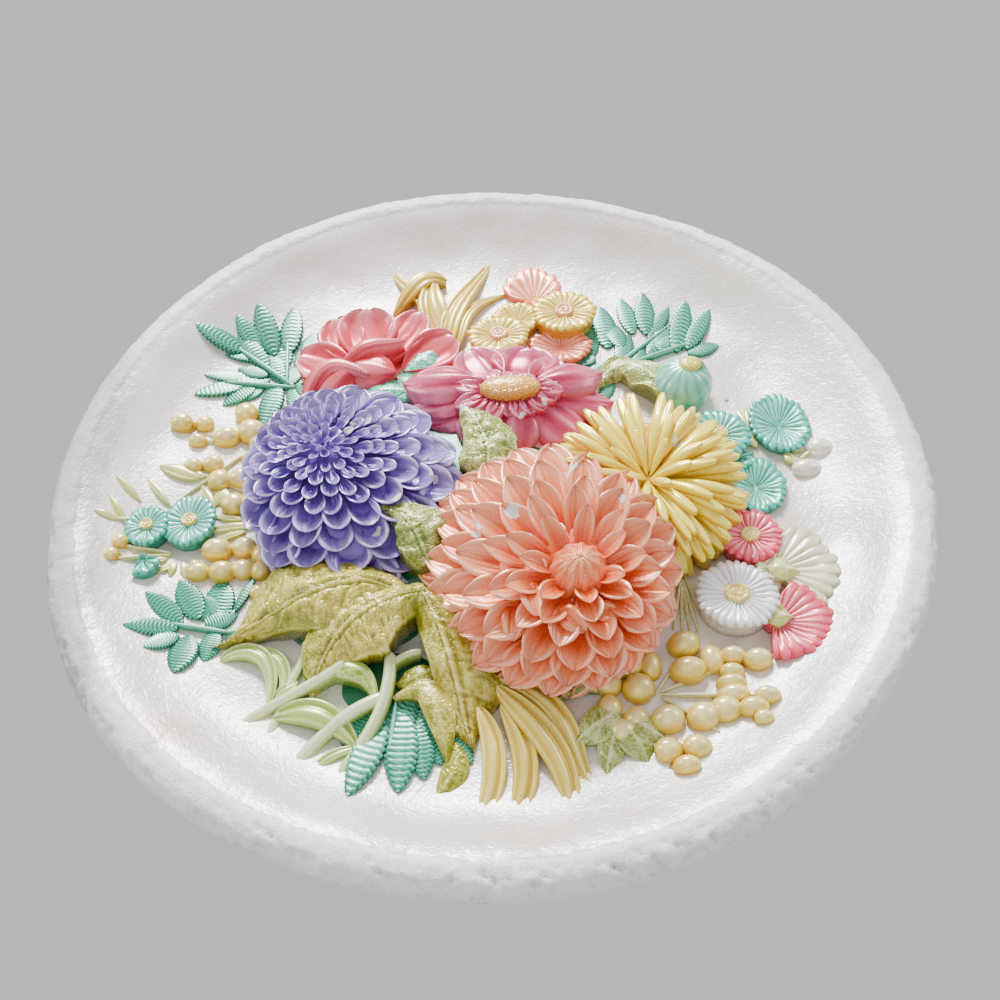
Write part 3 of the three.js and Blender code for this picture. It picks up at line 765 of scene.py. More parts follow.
def make_yellow():
    """Yellow flower: tiers of narrow quilled petals from one eye, low and wide at the edge."""
    casting = Casting()
    core(casting, YELLOW, 0.78)
    quill = leaf_outline(0.62, 0.36)

    def groove(t, u):
        end = smooth(0.55, 0.85, u)
        height = 0.42 * np.sqrt(np.maximum(1 - t**2, 0)) - 0.16 * bump(t, -0.1, 0.3) * end
        # painted highlight along each quill's crown, painted shade at its sides and in the groove
        relief = 0.12 + 0.3 * (1 - t**2) + 0.5 * smooth(0.15, 0.9, u) * (1 - t**4)
        return height, relief - 0.3 * bump(t, -0.1, 0.24) * end

    tiers = ((30, 97, 44, 5.2, 1.0, 3, 12.0), (29, 93, 34, 5.2, 1.05, 3, 6.0),
             (27, 82, 26, 5.0, 1.1, 3, 1.5), (24, 68, 18, 4.8, 1.12, 4, -2.0),
             (19, 54, 12, 4.6, 1.14, 4, -4.0), (13, 38, 7, 4.4, 1.14, 4, -5.0),
             (7, 20, 4, 4.0, 1.1, 3, -5.0))
    for count, tilt, start, width, proud, arch, sink in tiers:
        turn = 360 * np.arange(count) / count + random.uniform(-5, 5, count)
        lean = tilt + random.uniform(-5, 5, count)
        root = on_dome(YELLOW, start, turn, 0.72)
        tip = on_dome(YELLOW, lean, turn + random.uniform(-6, 6, count), proud)
        tip[:, 2] -= sink + random.uniform(-1.2, 1.2, count)
        out = dome_normal(YELLOW, (start + lean) / 2, turn)
        petals(casting, root, (root + tip) / 2 + out * arch, tip, out,
               width * random.uniform(0.85, 1.1, count), quill, groove, 2.4, rings=12, around=16,
               floor=FIELD if sink > 5 else None)
    paint = pearl("yellow_pearl", (216, 172, 0), (248, 220, 30), (255, 240, 116), lines=0.1, line_size=7.0)
    casting.make("yellow_quilled_flower", paint,
                 chips=[(63, 3, 1.8), (74, -7, 2.2), (47, 8, 1.4), (90, -12, 1.6)])


# ---- the broad flowers ----

def oval(middle, across, up, turn):
    """Places on an oval round the middle x, z, n, at turns in radians."""
    x, z, n = middle
    return np.stack([x + across * np.cos(turn), z + up * np.sin(turn), n + 0 * turn], -1)


def broad(casting, rows, face, outline, top, thick, rings=20, around=36, sag=None):
    """Broad petals from rows of root x, z, n, tip x, z, n, width and arch."""
    table = np.array(rows, float)
    root, tip, width, arch = table[:, :3], table[:, 3:6], table[:, 6], table[:, 7]
    bend = (root + tip) / 2 + np.array([[0, 0, 1.0]]) * arch[:, None]
    petals(casting, root, bend, tip, face, width, outline, top, thick, rings=rings, around=around, sag=sag,
           floor=FIELD)


def make_magenta():
    """Magenta flower: full grooved petals round an oval stippled button, with a short ruffle."""
    casting = Casting()
    # the mass under the petals, at relief nothing: painted shade in the gaps between them
    turned(casting, 9, 32, [(0, 10), (30, 12), (28, 19), (21, 26), (12, 31), (0, 33)], 48, (0, -0.05),
           (1, 0.85), 0.0)
    back = [(5, 38, 32, -7, 64, 27, 23, 4), (15, 40, 32, 19, 63, 27, 30, 4),
            (20, 36, 32, 31, 56, 27, 16, 3)]
    front = [(-1, 38, 33, -34, 42, 29, 23, 6), (19, 35, 33, 49, 43, 29, 20, 6),
             (20, 31, 30, 53, 31, 24, 18, 4), (-3, 32, 30, -30, 32, 26, 16, 4),
             (-4, 30, 27, -24, 24, 23, 15, 3), (17, 29, 31, 41, 11, 21, 24, 5),
             (12, 27, 31, 10, 8, 21, 30, 5), (0, 28, 30, -10, 14, 24, 18, 4),
             (16, 27, 27, 29, 7, 20, 18, 3)]
    broad(casting, back, OUT, leaf_outline(0.62, 0.42), creased(3, 0.02, 0.4), 3.0)
    broad(casting, front, OUT, leaf_outline(0.58, 0.5), rounded_top(3, 0.022, 0.14), 3.0,
          sag=drape(0.1, 0.015))
    turn = np.radians(np.arange(22) * 360 / 22 + random.uniform(-6, 6, 22))
    root = oval((10, 31, 35), 9, 3, turn)
    reach = 1 + 0.18 * random.uniform(-1, 1, 22)
    tip = oval((10, 29.5, 35.5), 21 * reach, 12.5 * reach, turn)
    tip[:, 2] -= 2.0 * np.maximum(-np.sin(turn), 0)
    bend = (root + tip) / 2 + [0, 0, 4.0]
    petals(casting, root, bend, tip, OUT, 7.4, leaf_outline(0.62, 0.55), boat(0.1, 0.14, 0.78), 2.2,
           rings=12, around=20, floor=27.0)
    paint = pearl("magenta_pearl", (170, 12, 60), (200, 70, 108), (236, 150, 172), lines=0.26,
                  line_size=18.0)
    casting.make("magenta_flower", paint, chips=[(15, 18, 1.8), (24, 24, 1.4)])
    button = Casting()
    turned(button, 10.3, 31,
           [(0, 30), (11.8, 31), (12.8, 35), (12.6, 38.2), (11.6, 39.8), (9.5, 40.4), (6, 41), (0, 41.2)],
           72, (0, 0), (1, 0.46), 0.55)
    gold = pearl("gold_button", (196, 96, 14), (232, 170, 70), (250, 224, 150), stipple=900.0)
    button.make("magenta_flower_button", gold)


def make_pink():
    """Pink flower: broad cupped petals behind, and two folded over in front."""
    casting = Casting()
    # the mass under the petals, at relief nothing: painted shade in the gaps between them
    turned(casting, -49, 62, [(0, 10), (27, 12), (26, 16), (20, 20), (9, 23), (0, 23)], 40, (0, 0),
           (1, 0.85), 0.0)
    back = [(-58, 63, 23, -67, 90, 25, 22, 3), (-52, 62, 25, -52, 91, 29, 28, 3),
            (-42, 62, 25, -28, 89, 28, 17, 3), (-36, 58, 23, -13, 74, 26, 21, 4),
            (-56, 58, 24, -82, 70, 22, 20, 4)]
    broad(casting, back, (0, -0.25, 1), leaf_outline(0.66, 0.4), creased(2, 0.018, 0.6), 3.0)
    front = [(-56, 56, 29, -78, 41, 19, 20, 5), (-38, 52, 27, -60, 58, 27, 20, 3)]
    broad(casting, front, (0, -0.2, 1), leaf_outline(0.55, 0.5), rounded_top(2, 0.015, 0.12, 0.8), 3.0,
          sag=drape(0.12))
    lips = [([(-78, 38, 23), (-73, 50, 28), (-65, 56, 30), (-50, 50, 28)], 9),
            ([(-61, 57, 29), (-54, 63, 32), (-47, 66, 32), (-35, 70, 28)], 8)]
    strips(casting, lips, leaf_outline(0.5, 0.45), rounded_top(1, 0.04, 0.3), 3.0, 34, 24)
    paint = pearl("pink_pearl", (206, 28, 52), (232, 86, 100), (248, 164, 172), lines=0.26, line_size=15.0)
    casting.make("pink_flower", paint)


# ---- the small flowers ----

def daisy(casting, x, z, rx, rz, rise, count=22, fan=None, dished=0.0):
    """A small flower: a drum with ribbed sides and a face of rounded rays, each with a scallop
    at the edge. A fan keeps the rays within an arc, given by its middle and half in degrees.
    dished sinks the middle of the face, in mm."""
    base = face_height(x, z) - 1
    phase = random.uniform(0, 6)

    def ribs(angle, share):
        wobble = 0.35 * np.sin(3 * angle + phase) + 0.25 * np.sin(5 * angle + 2 * phase)
        ray = np.abs(np.sin(count * angle / 2 + wobble)) ** 0.6
        outer = smooth(0.15, 0.4, share)
        face = smooth(0.45, 0.6, share) * smooth(1.0, 0.86, share)
        uneven = (0.022 * np.sin(2 * angle + phase) + 0.03 * np.sin(7 * angle + phase)
                  + 0.02 * np.sin(11 * angle))
        factor = 1 + (0.13 * ray - 0.1 + uneven) * outer
        if fan:
            middle, half = fan
            off = np.abs((np.degrees(angle) - middle + 180) % 360 - 180)
            factor = factor * (0.3 + 0.7 * smooth(half + 14, half - 6, off))
        added = (1.25 * (ray - 0.6) + 0.4 * np.sin(5 * angle + 2 * phase)) * face
        # relief: painted highlight on the ray crests and the face, painted shade on the drum's sides and
        # between the rays
        return factor, added, -0.05 + 0.45 * ray * outer + 0.3 * face * ray + 0.1 * face

    top = base + 1 + rise
    profile = [(0, base), (0.92, base), (0.95, base + 0.5 * rise), (0.99, top - 1.4), (1.01, top - 0.7),
               (1.0, top - 0.1), (0.94, top + 0.35), (0.84, top + 0.4), (0.72, top + 0.2), (0.6, top - 0.1),
               (0.48, top - 0.4), (0.36, top - 0.7), (0.25, top - 0.9), (0.12, top - 1.0), (0, top - 1.0)]
    profile = [(r * rx, n - dished * (1 - r) * (n > top - 1.2)) for r, n in profile]
    turned(casting, x, z, profile, count * 10, (0, 0), (1, rz / rx), shape=ribs, tint=random.random())
    return top


def eye(casting, x, z, size, n, oval=0.9):
    """The round middle of a small flower: a rolled ring round a dimple with a bud in it."""
    profile = [(0, n - 1.5), (size, n - 1.4), (size * 1.08, n + 0.3), (size * 1.0, n + 1.1),
               (size * 0.86, n + 1.4), (size * 0.7, n + 1.1), (size * 0.6, n + 0.8), (size * 0.46, n + 1.2),
               (size * 0.3, n + 1.4), (size * 0.16, n + 1.1), (0, n + 1.0)]
    turned(casting, x, z, profile, 32, (0, 0), (1, oval), relief=0.6, tint=random.random())


def make_daisies():
    """The small flowers, a piece for each colour, and their eyes."""
    golden, orange = Casting(), Casting()
    groups = {"yellow_daisies": ([(37, 92, 14.2, 13.2, 9, 24, None, 0),
                                  (6.5, 80, 13.6, 11.2, 8, 22, None, 0), (15, 93, 11, 10, 5, 20, None, 1)],
                                 ((210, 160, 16), (240, 208, 76), (253, 238, 150)), orange),
              "coral_daisies": ([(34, 75, 14, 11, 4, 22, None, 1), (24, 106, 15, 24, 3, 20, (92, 74), 1)],
                                ((226, 100, 56), (246, 152, 112), (253, 200, 172)), None),
              "turquoise_daisies": ([(96, 16, 13.2, 13, 6.5, 22, None, 0),
                                     (101, 6, 8, 8, 3, 14, (-60, 80), 0),
                                     (123, 23, 12.6, 16, 3.2, 26, None, 2.2),
                                     (108, -9, 11.6, 14.5, 3.0, 24, None, 2.2),
                                     (-136, -20, 8.6, 9.6, 5, 20, None, 0),
                                     (-120, -17, 10.4, 12.4, 5.5, 24, None, 0),
                                     (-135, -36, 7, 8, 4, 12, (-60, 60), 0)],
                                    ((16, 140, 122), (76, 188, 168), (168, 232, 216)), golden),
              "white_daisies": ([(90, -65, 15, 14.6, 9, 28, None, 0)],
                                ((208, 204, 196), (240, 240, 238), (252, 252, 252)), golden),
              "cream_daisies": ([(107, -51, 23.5, 22, 5, 26, (4, 62), 1), (100, -56, 9, 9, 3, 12, None, 0)],
                                ((190, 184, 130), (232, 226, 196), (250, 248, 236)), None),
              "pink_daisies": ([(100, -37, 12, 12.4, 7, 22, None, 0),
                                (104, -74, 19, 17, 5, 26, (-18, 88), 2)],
                               ((206, 26, 64), (236, 88, 110), (250, 166, 180)), golden)}
    with_eye = {(37, 92), (6.5, 80), (96, 16), (-136, -20), (-120, -17), (90, -65), (100, -37)}
    for name, (flowers, colours, eyes) in groups.items():
        casting = Casting()
        for x, z, rx, rz, rise, count, fan, dished in flowers:
            top = daisy(casting, x, z, rx, rz, rise, count, fan, dished)
            if (x, z) in with_eye:
                eye(eyes, x, z + 0.4, rx * 0.3, top - 0.6)
        casting.make(name, pearl(name + "_paint", *colours, grain=0.3))
    golden.make("golden_eyes",
                pearl("golden_eye", (206, 156, 40), (240, 208, 104), (253, 242, 190), stipple=900.0))
    orange.make("orange_eyes",
                pearl("orange_eye", (214, 110, 50), (242, 166, 110), (252, 218, 184), stipple=900.0))


def make_pod():
    """The turquoise pod: a ribbed ball with a stippled golden eye on its upper right."""
    casting = Casting()
    steps = np.radians(np.linspace(-60, 90, 22))
    profile = [(0, 12)] + [(13 * math.cos(s), 20 + 10.5 * math.sin(s)) for s in steps]

    def ribs(angle, share):
        wave = np.abs(np.sin(7 * angle + 2.5 * share))
        # painted highlight on the rib crests and towards the top, painted shade between the ribs and low
        # down
        return 1 + 0.015 * wave, 0.3 * wave * smooth(1, 0.7, share), 0.3 + 0.3 * wave + 0.15 * share
    turned(casting, 83.5, 43.5, profile, 140, (0.12, 0.16), (1, 0.98), shape=ribs)
    for twist in (0, 1):
        turn = np.radians(np.arange(12) * 30 + 15 * twist)
        root = oval((87.5, 47.6, 29.8), 4.4, 3.8, turn)
        tip = oval((87.2, 47, 28.6 - twist), 6.4 + twist, 5.6 + twist, turn)
        petals(casting, root, (root + tip) / 2 + [0, 0, 1.0], tip, OUT, 3.0, leaf_outline(0.6, 0.5),
               boat(0.1, 0.1), 1.0, rings=8, around=12)
    casting.make("turquoise_pod", pearl("pod_paint", (26, 142, 114), (92, 188, 160), (176, 232, 212)))
    button = Casting()
    profile = [(0, 27), (4.6, 28.4), (5.0, 30), (4.5, 31), (3.2, 31.5), (1.6, 31.8), (0, 31.8)]
    turned(button, 87.5, 47.6, profile, 40, (0, 0), (1, 0.85), 0.6)
    button.make("pod_eye",
                pearl("pod_eye_paint", (190, 150, 30), (234, 206, 84), (252, 242, 180), stipple=900.0))


# ---- leaves, ferns, stems, berries ----

def leaf(casting, path, left, right=None, veins=5, thick=2.6, edge=None, floor=FIELD, wave=0.02, fall=0.1,
         puff=0.55, size=4.6, rings=84, around=64):
    """A broad leaf along a midrib of three or four places, with its own half widths, in mm, at
    even steps from root to tip, on the left and right of the midrib as seen along it. The right
    side is like the left where it isn't given."""
    right = right or left
    widest = max(*left, *right)
    root, tip = path[0], path[-1]
    bend, second = through(path) if len(path) == 4 else (path[1], None)

    def outline(u, t):
        return np.where(t > 0, curve(right, u), curve(left, u)) / widest
    shape = toothed(outline, edge, 0.07) if edge else outline
    petals(casting, [root], [bend], [tip], OUT, 2 * widest, shape, veined(veins), thick, rings=rings,
           around=around, sag=drape(fall, wave), floor=floor, pucker=quilt(size, puff), second=second)


def on_face(x, z, lift):
    """Places at a height above the dish's face."""
    return np.stack([x, z, face_height(x, z) + lift], -1)


def laid(casting, rows, root_lift, arch, width, outline, top, thick, rings, around, tip_lift=0.3,
         floor=SUNK):
    """Small petals laid on the face, from rows of root x, z, tip x, z and, where width is None,
    a width."""
    x0, z0, x1, z1, *last = np.array(rows, float).T
    root, tip = on_face(x0, z0, root_lift), on_face(x1, z1, tip_lift)
    petals(casting, root, (root + tip) / 2 + [0, 0, arch], tip, OUT, last[0] if width is None else width,
           outline, top, thick, rings=rings, around=around, floor=floor)


def round_strip(rise, base, crown):
    """The top of a round stalk or twig: its rise, and its relief at the edge and the crown."""
    # lighter on the crown, darker at the edges: painted highlight and painted shade
    return lambda t, u: (rise * (1 - t**2), base + crown * (1 - t**2))


def strips(casting, rows, outline, top, thick, rings=34, around=20, floor=FIELD):
    """Blades, stems or lances through four places each, from rows of (path, width)."""
    path = np.array([row[0] for row in rows], float)
    width = np.array([row[1] for row in rows], float)
    root, tip = path[:, 0], path[:, 3]
    bend, second = through(np.moveaxis(path, 1, 0))
    petals(casting, root, bend, tip, OUT, width, outline, top, thick, rings=rings, around=around,
           floor=floor, second=second)


def make_bed():
    """The mass between the flowers and under the leaves, seen only in the gaps, painted a dark fern
    green at low relief: partly the green of the paint, partly painted shade in the gaps.
    """
    casting = Casting()
    steps = np.linspace(0, 1, 14)
    profile = [(0, 11)] + [(s, 12 + 13 * math.sqrt(1 - s**4)) for s in steps[::-1]]
    turned(casting, -5, -14, [(r * 56, n) for r, n in profile], 90, (0, 0), (1, 1.08), 0.1)
    turned(casting, -52, -66, [(r * 26, 12 + (n - 12) * 0.6) for r, n in profile], 60, (0, 0), (1, 0.5),
           0.1)
    turned(casting, -38, -92, [(r * 22, 12 + (n - 12) * 0.24) for r, n in profile], 60, (0, 0), (1, 0.7),
           0.1)
    # dark green at low relief: painted shade for the deep gaps, over green paint
    casting.make("bouquet_bed", pearl("bed_green_painted_shade", (10, 96, 66), (40, 120, 80), (110, 170, 110), grain=0.8))


def make_leaves():
    """The broad leaves: golden green round the foot of the bouquet, sage between the flowers."""
    golden = Casting()
    leaf(golden, [(-34, -62, 30), (-58, -58, 31), (-80, -66, 26), (-104, -75, 16)],
         [4, 9, 15, 17, 12, 6, 2, 0], [5, 10, 12, 17, 23, 16, 7, 0], 5, edge=9, wave=0.03, puff=0.8,
         size=6.0, rings=100, around=80)
    leaf(golden, [(-25, -64, 32), (-44, -68, 31), (-58, -79, 26), (-67, -99, 16)],
         [4, 10, 15, 18, 16, 11, 5, 0], [5, 8, 12, 14, 13, 12, 8, 0], 5, edge=8, wave=0.035, puff=0.7,
         size=5.2, rings=100, around=80)
    leaf(golden, [(-27, -62, 32), (-18, -84, 30), (-13, -104, 22), (-9, -120, 16)],
         [5, 12, 19, 22, 19, 14, 7, 0], [3, 6, 7, 7, 7, 7, 5, 0], 5, wave=0.07, fall=0.12, puff=0.55,
         size=6.0, rings=90)
    leaf(golden, [(-37, -99, 18), (-25, -99, 22), (-20, -110, 21), (-18, -126, 16)],
         [1, 3, 5, 6, 6, 5, 3, 0], [1, 3, 4, 5, 5, 4, 2, 0], 2, wave=0.05, puff=0.2, rings=50, around=36)
    leaf(golden, [(-15, -117, 17), (-16, -127, 17), (-21, -134, 16), (-27, -141, 15.2)],
         [1, 4, 5, 5, 4, 3, 1, 0], [1, 3, 4, 4, 3, 2, 1, 0], 2, rings=30, around=24, puff=0.1)
    leaf(golden, [(-36, -93, 17), (-31, -92, 19), (-26, -90, 19), (-20, -88, 18)], [1, 3, 4, 4, 3, 0], None,
         2, rings=30, around=24, puff=0.2)
    golden.make("golden_leaves", pearl("golden_leaf_paint", (134, 120, 10), (206, 190, 74), (248, 240, 180),
                                       grain=0.8, hue=(176, 200, 90), hue_amount=0.75, wrinkle=1.0))
    sage = Casting()
    leaf(sage, [(-23, -52, 33), (-27, -43, 37), (-33, -34, 38), (-46, -25, 34)], [4, 7, 8, 8, 6, 4, 2, 0],
         [4, 10, 15, 17, 15, 10, 5, 0], 5, edge=7, wave=0.04, puff=0.6)
    leaf(sage, [(-1, -12, 33), (0, 0, 37), (-4, 12, 38), (-11, 24, 37)], [7, 12, 12, 10, 8, 6, 4, 0],
         [5, 9, 12, 13, 12, 9, 5, 0], 5, edge=8, wave=0.02, puff=0.6)
    leaf(sage, [(46, 47, 17), (60, 58, 21), (72, 48, 24), (84, 28, 16)], [1, 4, 6, 7, 6, 6, 4, 0],
         [1, 4, 6, 7, 8, 6, 4, 0], 4, wave=0.16, rings=60, around=40, puff=0.3)
    ovals = ([(44, -97, 15.5), (36, -93, 20), (28, -96, 20), (20, -104, 15.5)],
             [(43, -106, 15.5), (38, -111, 20), (31, -116, 20), (25, -120, 15.5)],
             [(40, -112, 15.5), (39, -119, 19), (37, -126, 18), (36, -134, 15)],
             [(42, -111, 15.5), (46, -118, 20), (49, -124, 19), (51, -131, 15)],
             [(43, -110, 15.5), (48, -113, 19), (54, -117, 18), (61, -120, 15)])
    wide = (7.5, 7, 5, 6, 4.5)
    for path, half in zip(ovals, wide):
        shape = [half * share for share in (0.2, 0.7, 1, 1, 0.9, 0.65, 0.3, 0)]
        leaf(sage, path, shape, None, 3, rings=36, around=32, puff=0.15, fall=0.14)
    sage.make("sage_leaves", pearl("sage_leaf_paint", (112, 124, 30), (186, 196, 116), (238, 240, 208),
                                   grain=0.8, hue=(190, 200, 110), hue_amount=0.6, wrinkle=1.0),
              chips=[(-10, 22.5, 3.4)])
    green = Casting()
    leaf(green, [(-37, 55, 22), (-30, 62, 24), (-23, 68, 24), (-14, 71, 19)], [2, 5, 6, 6, 5, 4, 2, 0],
         [2, 4, 6, 7, 6, 5, 2, 0], 4, rings=44, around=36, puff=0.25)
    leaf(green, [(-26, 44, 22), (-38, 44, 26), (-50, 44, 25), (-64, 41, 18)], [2, 5, 6, 6, 5, 4, 2, 0],
         [2, 4, 6, 7, 6, 5, 2, 0], 5, rings=48, around=36, puff=0.25)
    leaf(green, [(-30, 44, 23), (-33, 49, 25), (-37, 53, 24), (-42, 56, 21)], [2, 4, 5, 5, 5, 4, 2, 0],
         None, 3, rings=36, around=28, puff=0.2)
    green.make("green_leaves", pearl("green_leaf_paint", (20, 140, 96), (100, 196, 158), (184, 232, 210),
                                     grain=0.6, wrinkle=0.6))
    ruffle = Casting()
    for turn in np.radians(range(0, 360, 45)):
        path = [(-46, 50, 23), oval((-46, 50, 27), 4, 3, turn), oval((-46, 50, 23), 9, 6, turn)]
        leaf(ruffle, path, [1, 2.5, 3, 2.5, 1, 0], None, 2, wave=0.14, rings=20, around=20, puff=0.2)
    ruffle.make("leafy_ruffle",
                pearl("ruffle_paint", (70, 130, 20), (142, 194, 80), (214, 230, 150), grain=0.6))


def make_blades():
    """Grass blades below the bouquet and sword leaves above it."""
    casting = Casting()
    low = [([(1, -96, 22), (19, -106, 20), (26, -121, 17), (32, -137, 15)], 8.5),
           ([(0, -100, 24), (13, -114, 22), (22, -131, 18), (21, -154, 15)], 10.5),
           ([(-7, -106, 21), (-2, -121, 20), (-4, -138, 17), (-14, -152, 15)], 8.5),
           ([(1, -106, 22), (8, -121, 20), (7, -138, 17), (-4, -153, 15)], 9)]
    high = [([(-15, 70, 16), (-20, 95, 19), (-33, 116, 18), (-46, 138, 14.5)], 8),
            ([(-16, 70, 16), (-15, 92, 20), (-7, 112, 19), (6, 139, 14.5)], 10),
            ([(-13, 76, 16), (-10, 90, 19), (-4, 103, 18), (13, 114, 14.5)], 6),
            ([(-18, 84, 17), (-22, 96, 20), (-24, 108, 21), (-22, 121, 18)], 14),
            ([(-17, 121, 18), (-26, 120, 22), (-34, 112, 21), (-42, 101, 15)], 9)]
    strips(casting, low, leaf_outline(0.42, 0.62), strap, 2.4, 40, 28)
    strips(casting, high, leaf_outline(0.42, 0.7), strap, 2.4, 40, 28)
    casting.make("grass_blades",
                 pearl("gold_blade_paint", (170, 132, 4), (222, 192, 70), (252, 240, 160), grain=0.5))


def make_stems():
    """Pale stems with their lance leaves at the lower left."""
    casting = Casting()

    def tube(t, u):
        # painted highlight along the crown, painted shade in the groove and at the sides
        return (0.36 * np.sqrt(np.maximum(1 - t**2, 0)) - 0.07 * bump(t, 0.35, 0.2),
                0.5 + 0.4 * (1 - t**2) - 0.3 * bump(t, 0.35, 0.2))
    stems = [([(-97, -112, 15), (-84, -102, 16.5), (-70, -95, 19), (-54, -86, 22)], 4.2),
             ([(-74, -126, 15), (-62, -113, 17), (-52, -105, 19), (-40, -99, 19)], 4.9),
             ([(-58, -132, 15), (-47, -115, 17), (-40, -101, 20), (-38, -82, 21)], 4.6),
             ([(-85, -121, 14.5), (-81, -112, 15.5), (-78, -104, 16), (-76, -98, 16)], 3.2),
             ([(-75, -97, 16), (-74, -90, 16.5), (-72, -85, 16.5), (-71, -79, 16)], 3.2),
             ([(-38, -88, 21), (-35, -85, 21), (-31, -83, 21), (-27, -82, 20)], 2.8)]
    strips(casting, stems, lambda u, t: smooth(0, 0.03, u) * smooth(1.0, 0.97, u), tube, 2.0)
    lances = [([(-101, -80, 15), (-92, -77, 18), (-83, -83, 18), (-82, -102, 16)], 7),
              ([(-93, -79, 15), (-84, -78, 17), (-77, -85, 17), (-79, -99, 16)], 6),
              ([(-80, -97, 15.5), (-77, -94, 17), (-74, -92, 17), (-72, -89, 15.5)], 4),
              ([(-79, -104, 16), (-68, -103, 18.5), (-58, -107, 18), (-49, -117, 15)], 11),
              ([(-66, -126, 15), (-60, -121, 16.5), (-54, -118, 16.5), (-46, -116, 15.5)], 4)]
    strips(casting, lances, leaf_outline(0.45, 0.6), strap, 2.0, 34, 24)
    leaf(casting, [(-68, -93, 18), (-58, -89, 22), (-48, -92, 22), (-42, -106, 18)],
         [1, 3, 5, 6, 5, 4, 2, 0], [1, 2, 2, 3, 3, 2, 1, 0], 3, rings=44, around=30, puff=0.1)
    casting.make("pale_stems",
                 pearl("pale_stem_paint", (112, 142, 24), (182, 200, 106), (240, 246, 206), grain=0.5))


def frond_top(t, u):
    """A fern's leaflet: fine ribs slanting to the tip on each side of a thin midrib."""
    rib = np.sin(np.pi * ((u * 13 - 1.9 * np.abs(t)) % 1)) ** 4
    stem = bump(t, 0, 0.07)
    height = (0.012 * (1 - t**2) + 0.026 * rib * (1 - stem) + 0.016 * stem) * (1 - t**10)
    # painted highlight on the fine ribs and midrib, painted shade between the ribs
    return height, -0.12 + 0.95 * rib * (1 - 0.3 * t**4) * (1 - 0.5 * stem) + 0.2 * stem


def make_ferns():
    """Four sprays of fern: leaflets from root x, z to tip x, z with a width, and their stalks."""
    leaflets = [(-108, 80, -130, 89.5, 9.5), (-101, 79, -113, 99, 9), (-95, 78, -104, 107, 11.5),
                (-89, 79, -88, 108.5, 11), (-81, 77, -78, 93, 9), (-97, 77, -117, 78, 6.5),
                (-104, 63, -128, 54.5, 9), (-102, 60, -115.5, 49.5, 8.5), (-104, 65, -125, 66, 7),
                (-92, 60, -97, 37.5, 11), (-86, 59, -79, 39, 10), (-91, 62, -99, 84, 9.5),
                (-89, 60, -83, 74, 9), (-97, 66, -111, 71, 7.5), (-84, 60, -70, 48, 9),
                (-99, 62, -107, 52, 8), (-111, -61, -121.5, -42.5, 11), (-117, -63, -132.5, -49.5, 9),
                (-118, -66, -136.5, -67, 8), (-117, -69, -128, -76, 7.5), (-113, -69, -116, -86, 11.5),
                (-105, -63, -104.5, -43, 13), (-104, -67, -107, -80, 9), (-99, -67, -91, -79, 9),
                (-98, -58, -92, -41, 4), (-109, -64, -97, -58, 10), (-40, -104, -51, -136, 12),
                (-33, -104, -34.5, -134.5, 13), (-28, -108, -26, -129.5, 10.5), (-28, -106, -20, -124, 9),
                (-20, -110, -9.5, -124, 9), (-44, -100, -55, -115, 9), (-22, -104, -12, -112, 8),
                (68, 83, 64.5, 107, 9), (74, 82, 75, 109, 10), (75, 80, 86, 99, 7.5),
                (56, 75, 54.5, 102.5, 12), (48, 70, 47, 94, 10), (86, 70, 94, 101, 10.5),
                (91, 71, 104, 94, 8.5), (91, 69, 105.5, 73, 8.5), (50, 68, 36.5, 67, 8),
                (73, 69, 88, 89, 8.5), (54, 57, 60.5, 71, 9), (54, 59, 51, 43, 9), (71, 72, 67, 58, 8.5),
                (60, 64, 66, 84, 9), (78, 74, 92, 80, 8), (64, 66, 78, 62, 8), (52, 64, 44, 54, 8),
                (62, 74, 58, 92, 9), (80, 70, 82, 88, 9), (60, 62, 74, 56, 8), (-97, 70, -112, 90, 9),
                (-90, 70, -94, 94, 10), (-84, 68, -80, 88, 9), (-96, 64, -120, 60, 8),
                (-30, -96, -40, -118, 12), (-40, -94, -52, -112, 10), (-22, -98, -24, -116, 12),
                (-106, -62, -112, -50, 10)]
    casting = Casting()
    layer = random.uniform(0.5, 1.7, len(leaflets))
    laid(casting, leaflets, layer, 0.8, None, toothed(leaf_outline(0.46, 0.6), 13, 0.2), frond_top, 0.4, 80,
         16)
    stalks = [(-84, 58, -112, 82), (-84, 58, -116, 62), (-88, 60, -90, 90), (-98, -68, -122, -64),
              (-36, -98, -38, -120), (44, 50, 84, 86), (60, 62, 96, 76)]
    laid(casting, stalks, 1.6, 1.0, 1.7, leaf_outline(0.5, 0.3), round_strip(0.4, 0.6, 0.2), 1.2, 20, 12,
         1.2)
    casting.make("fern_fronds",
                 pearl("fern_paint", (4, 100, 74), (50, 158, 124), (150, 226, 200), grain=0.25))


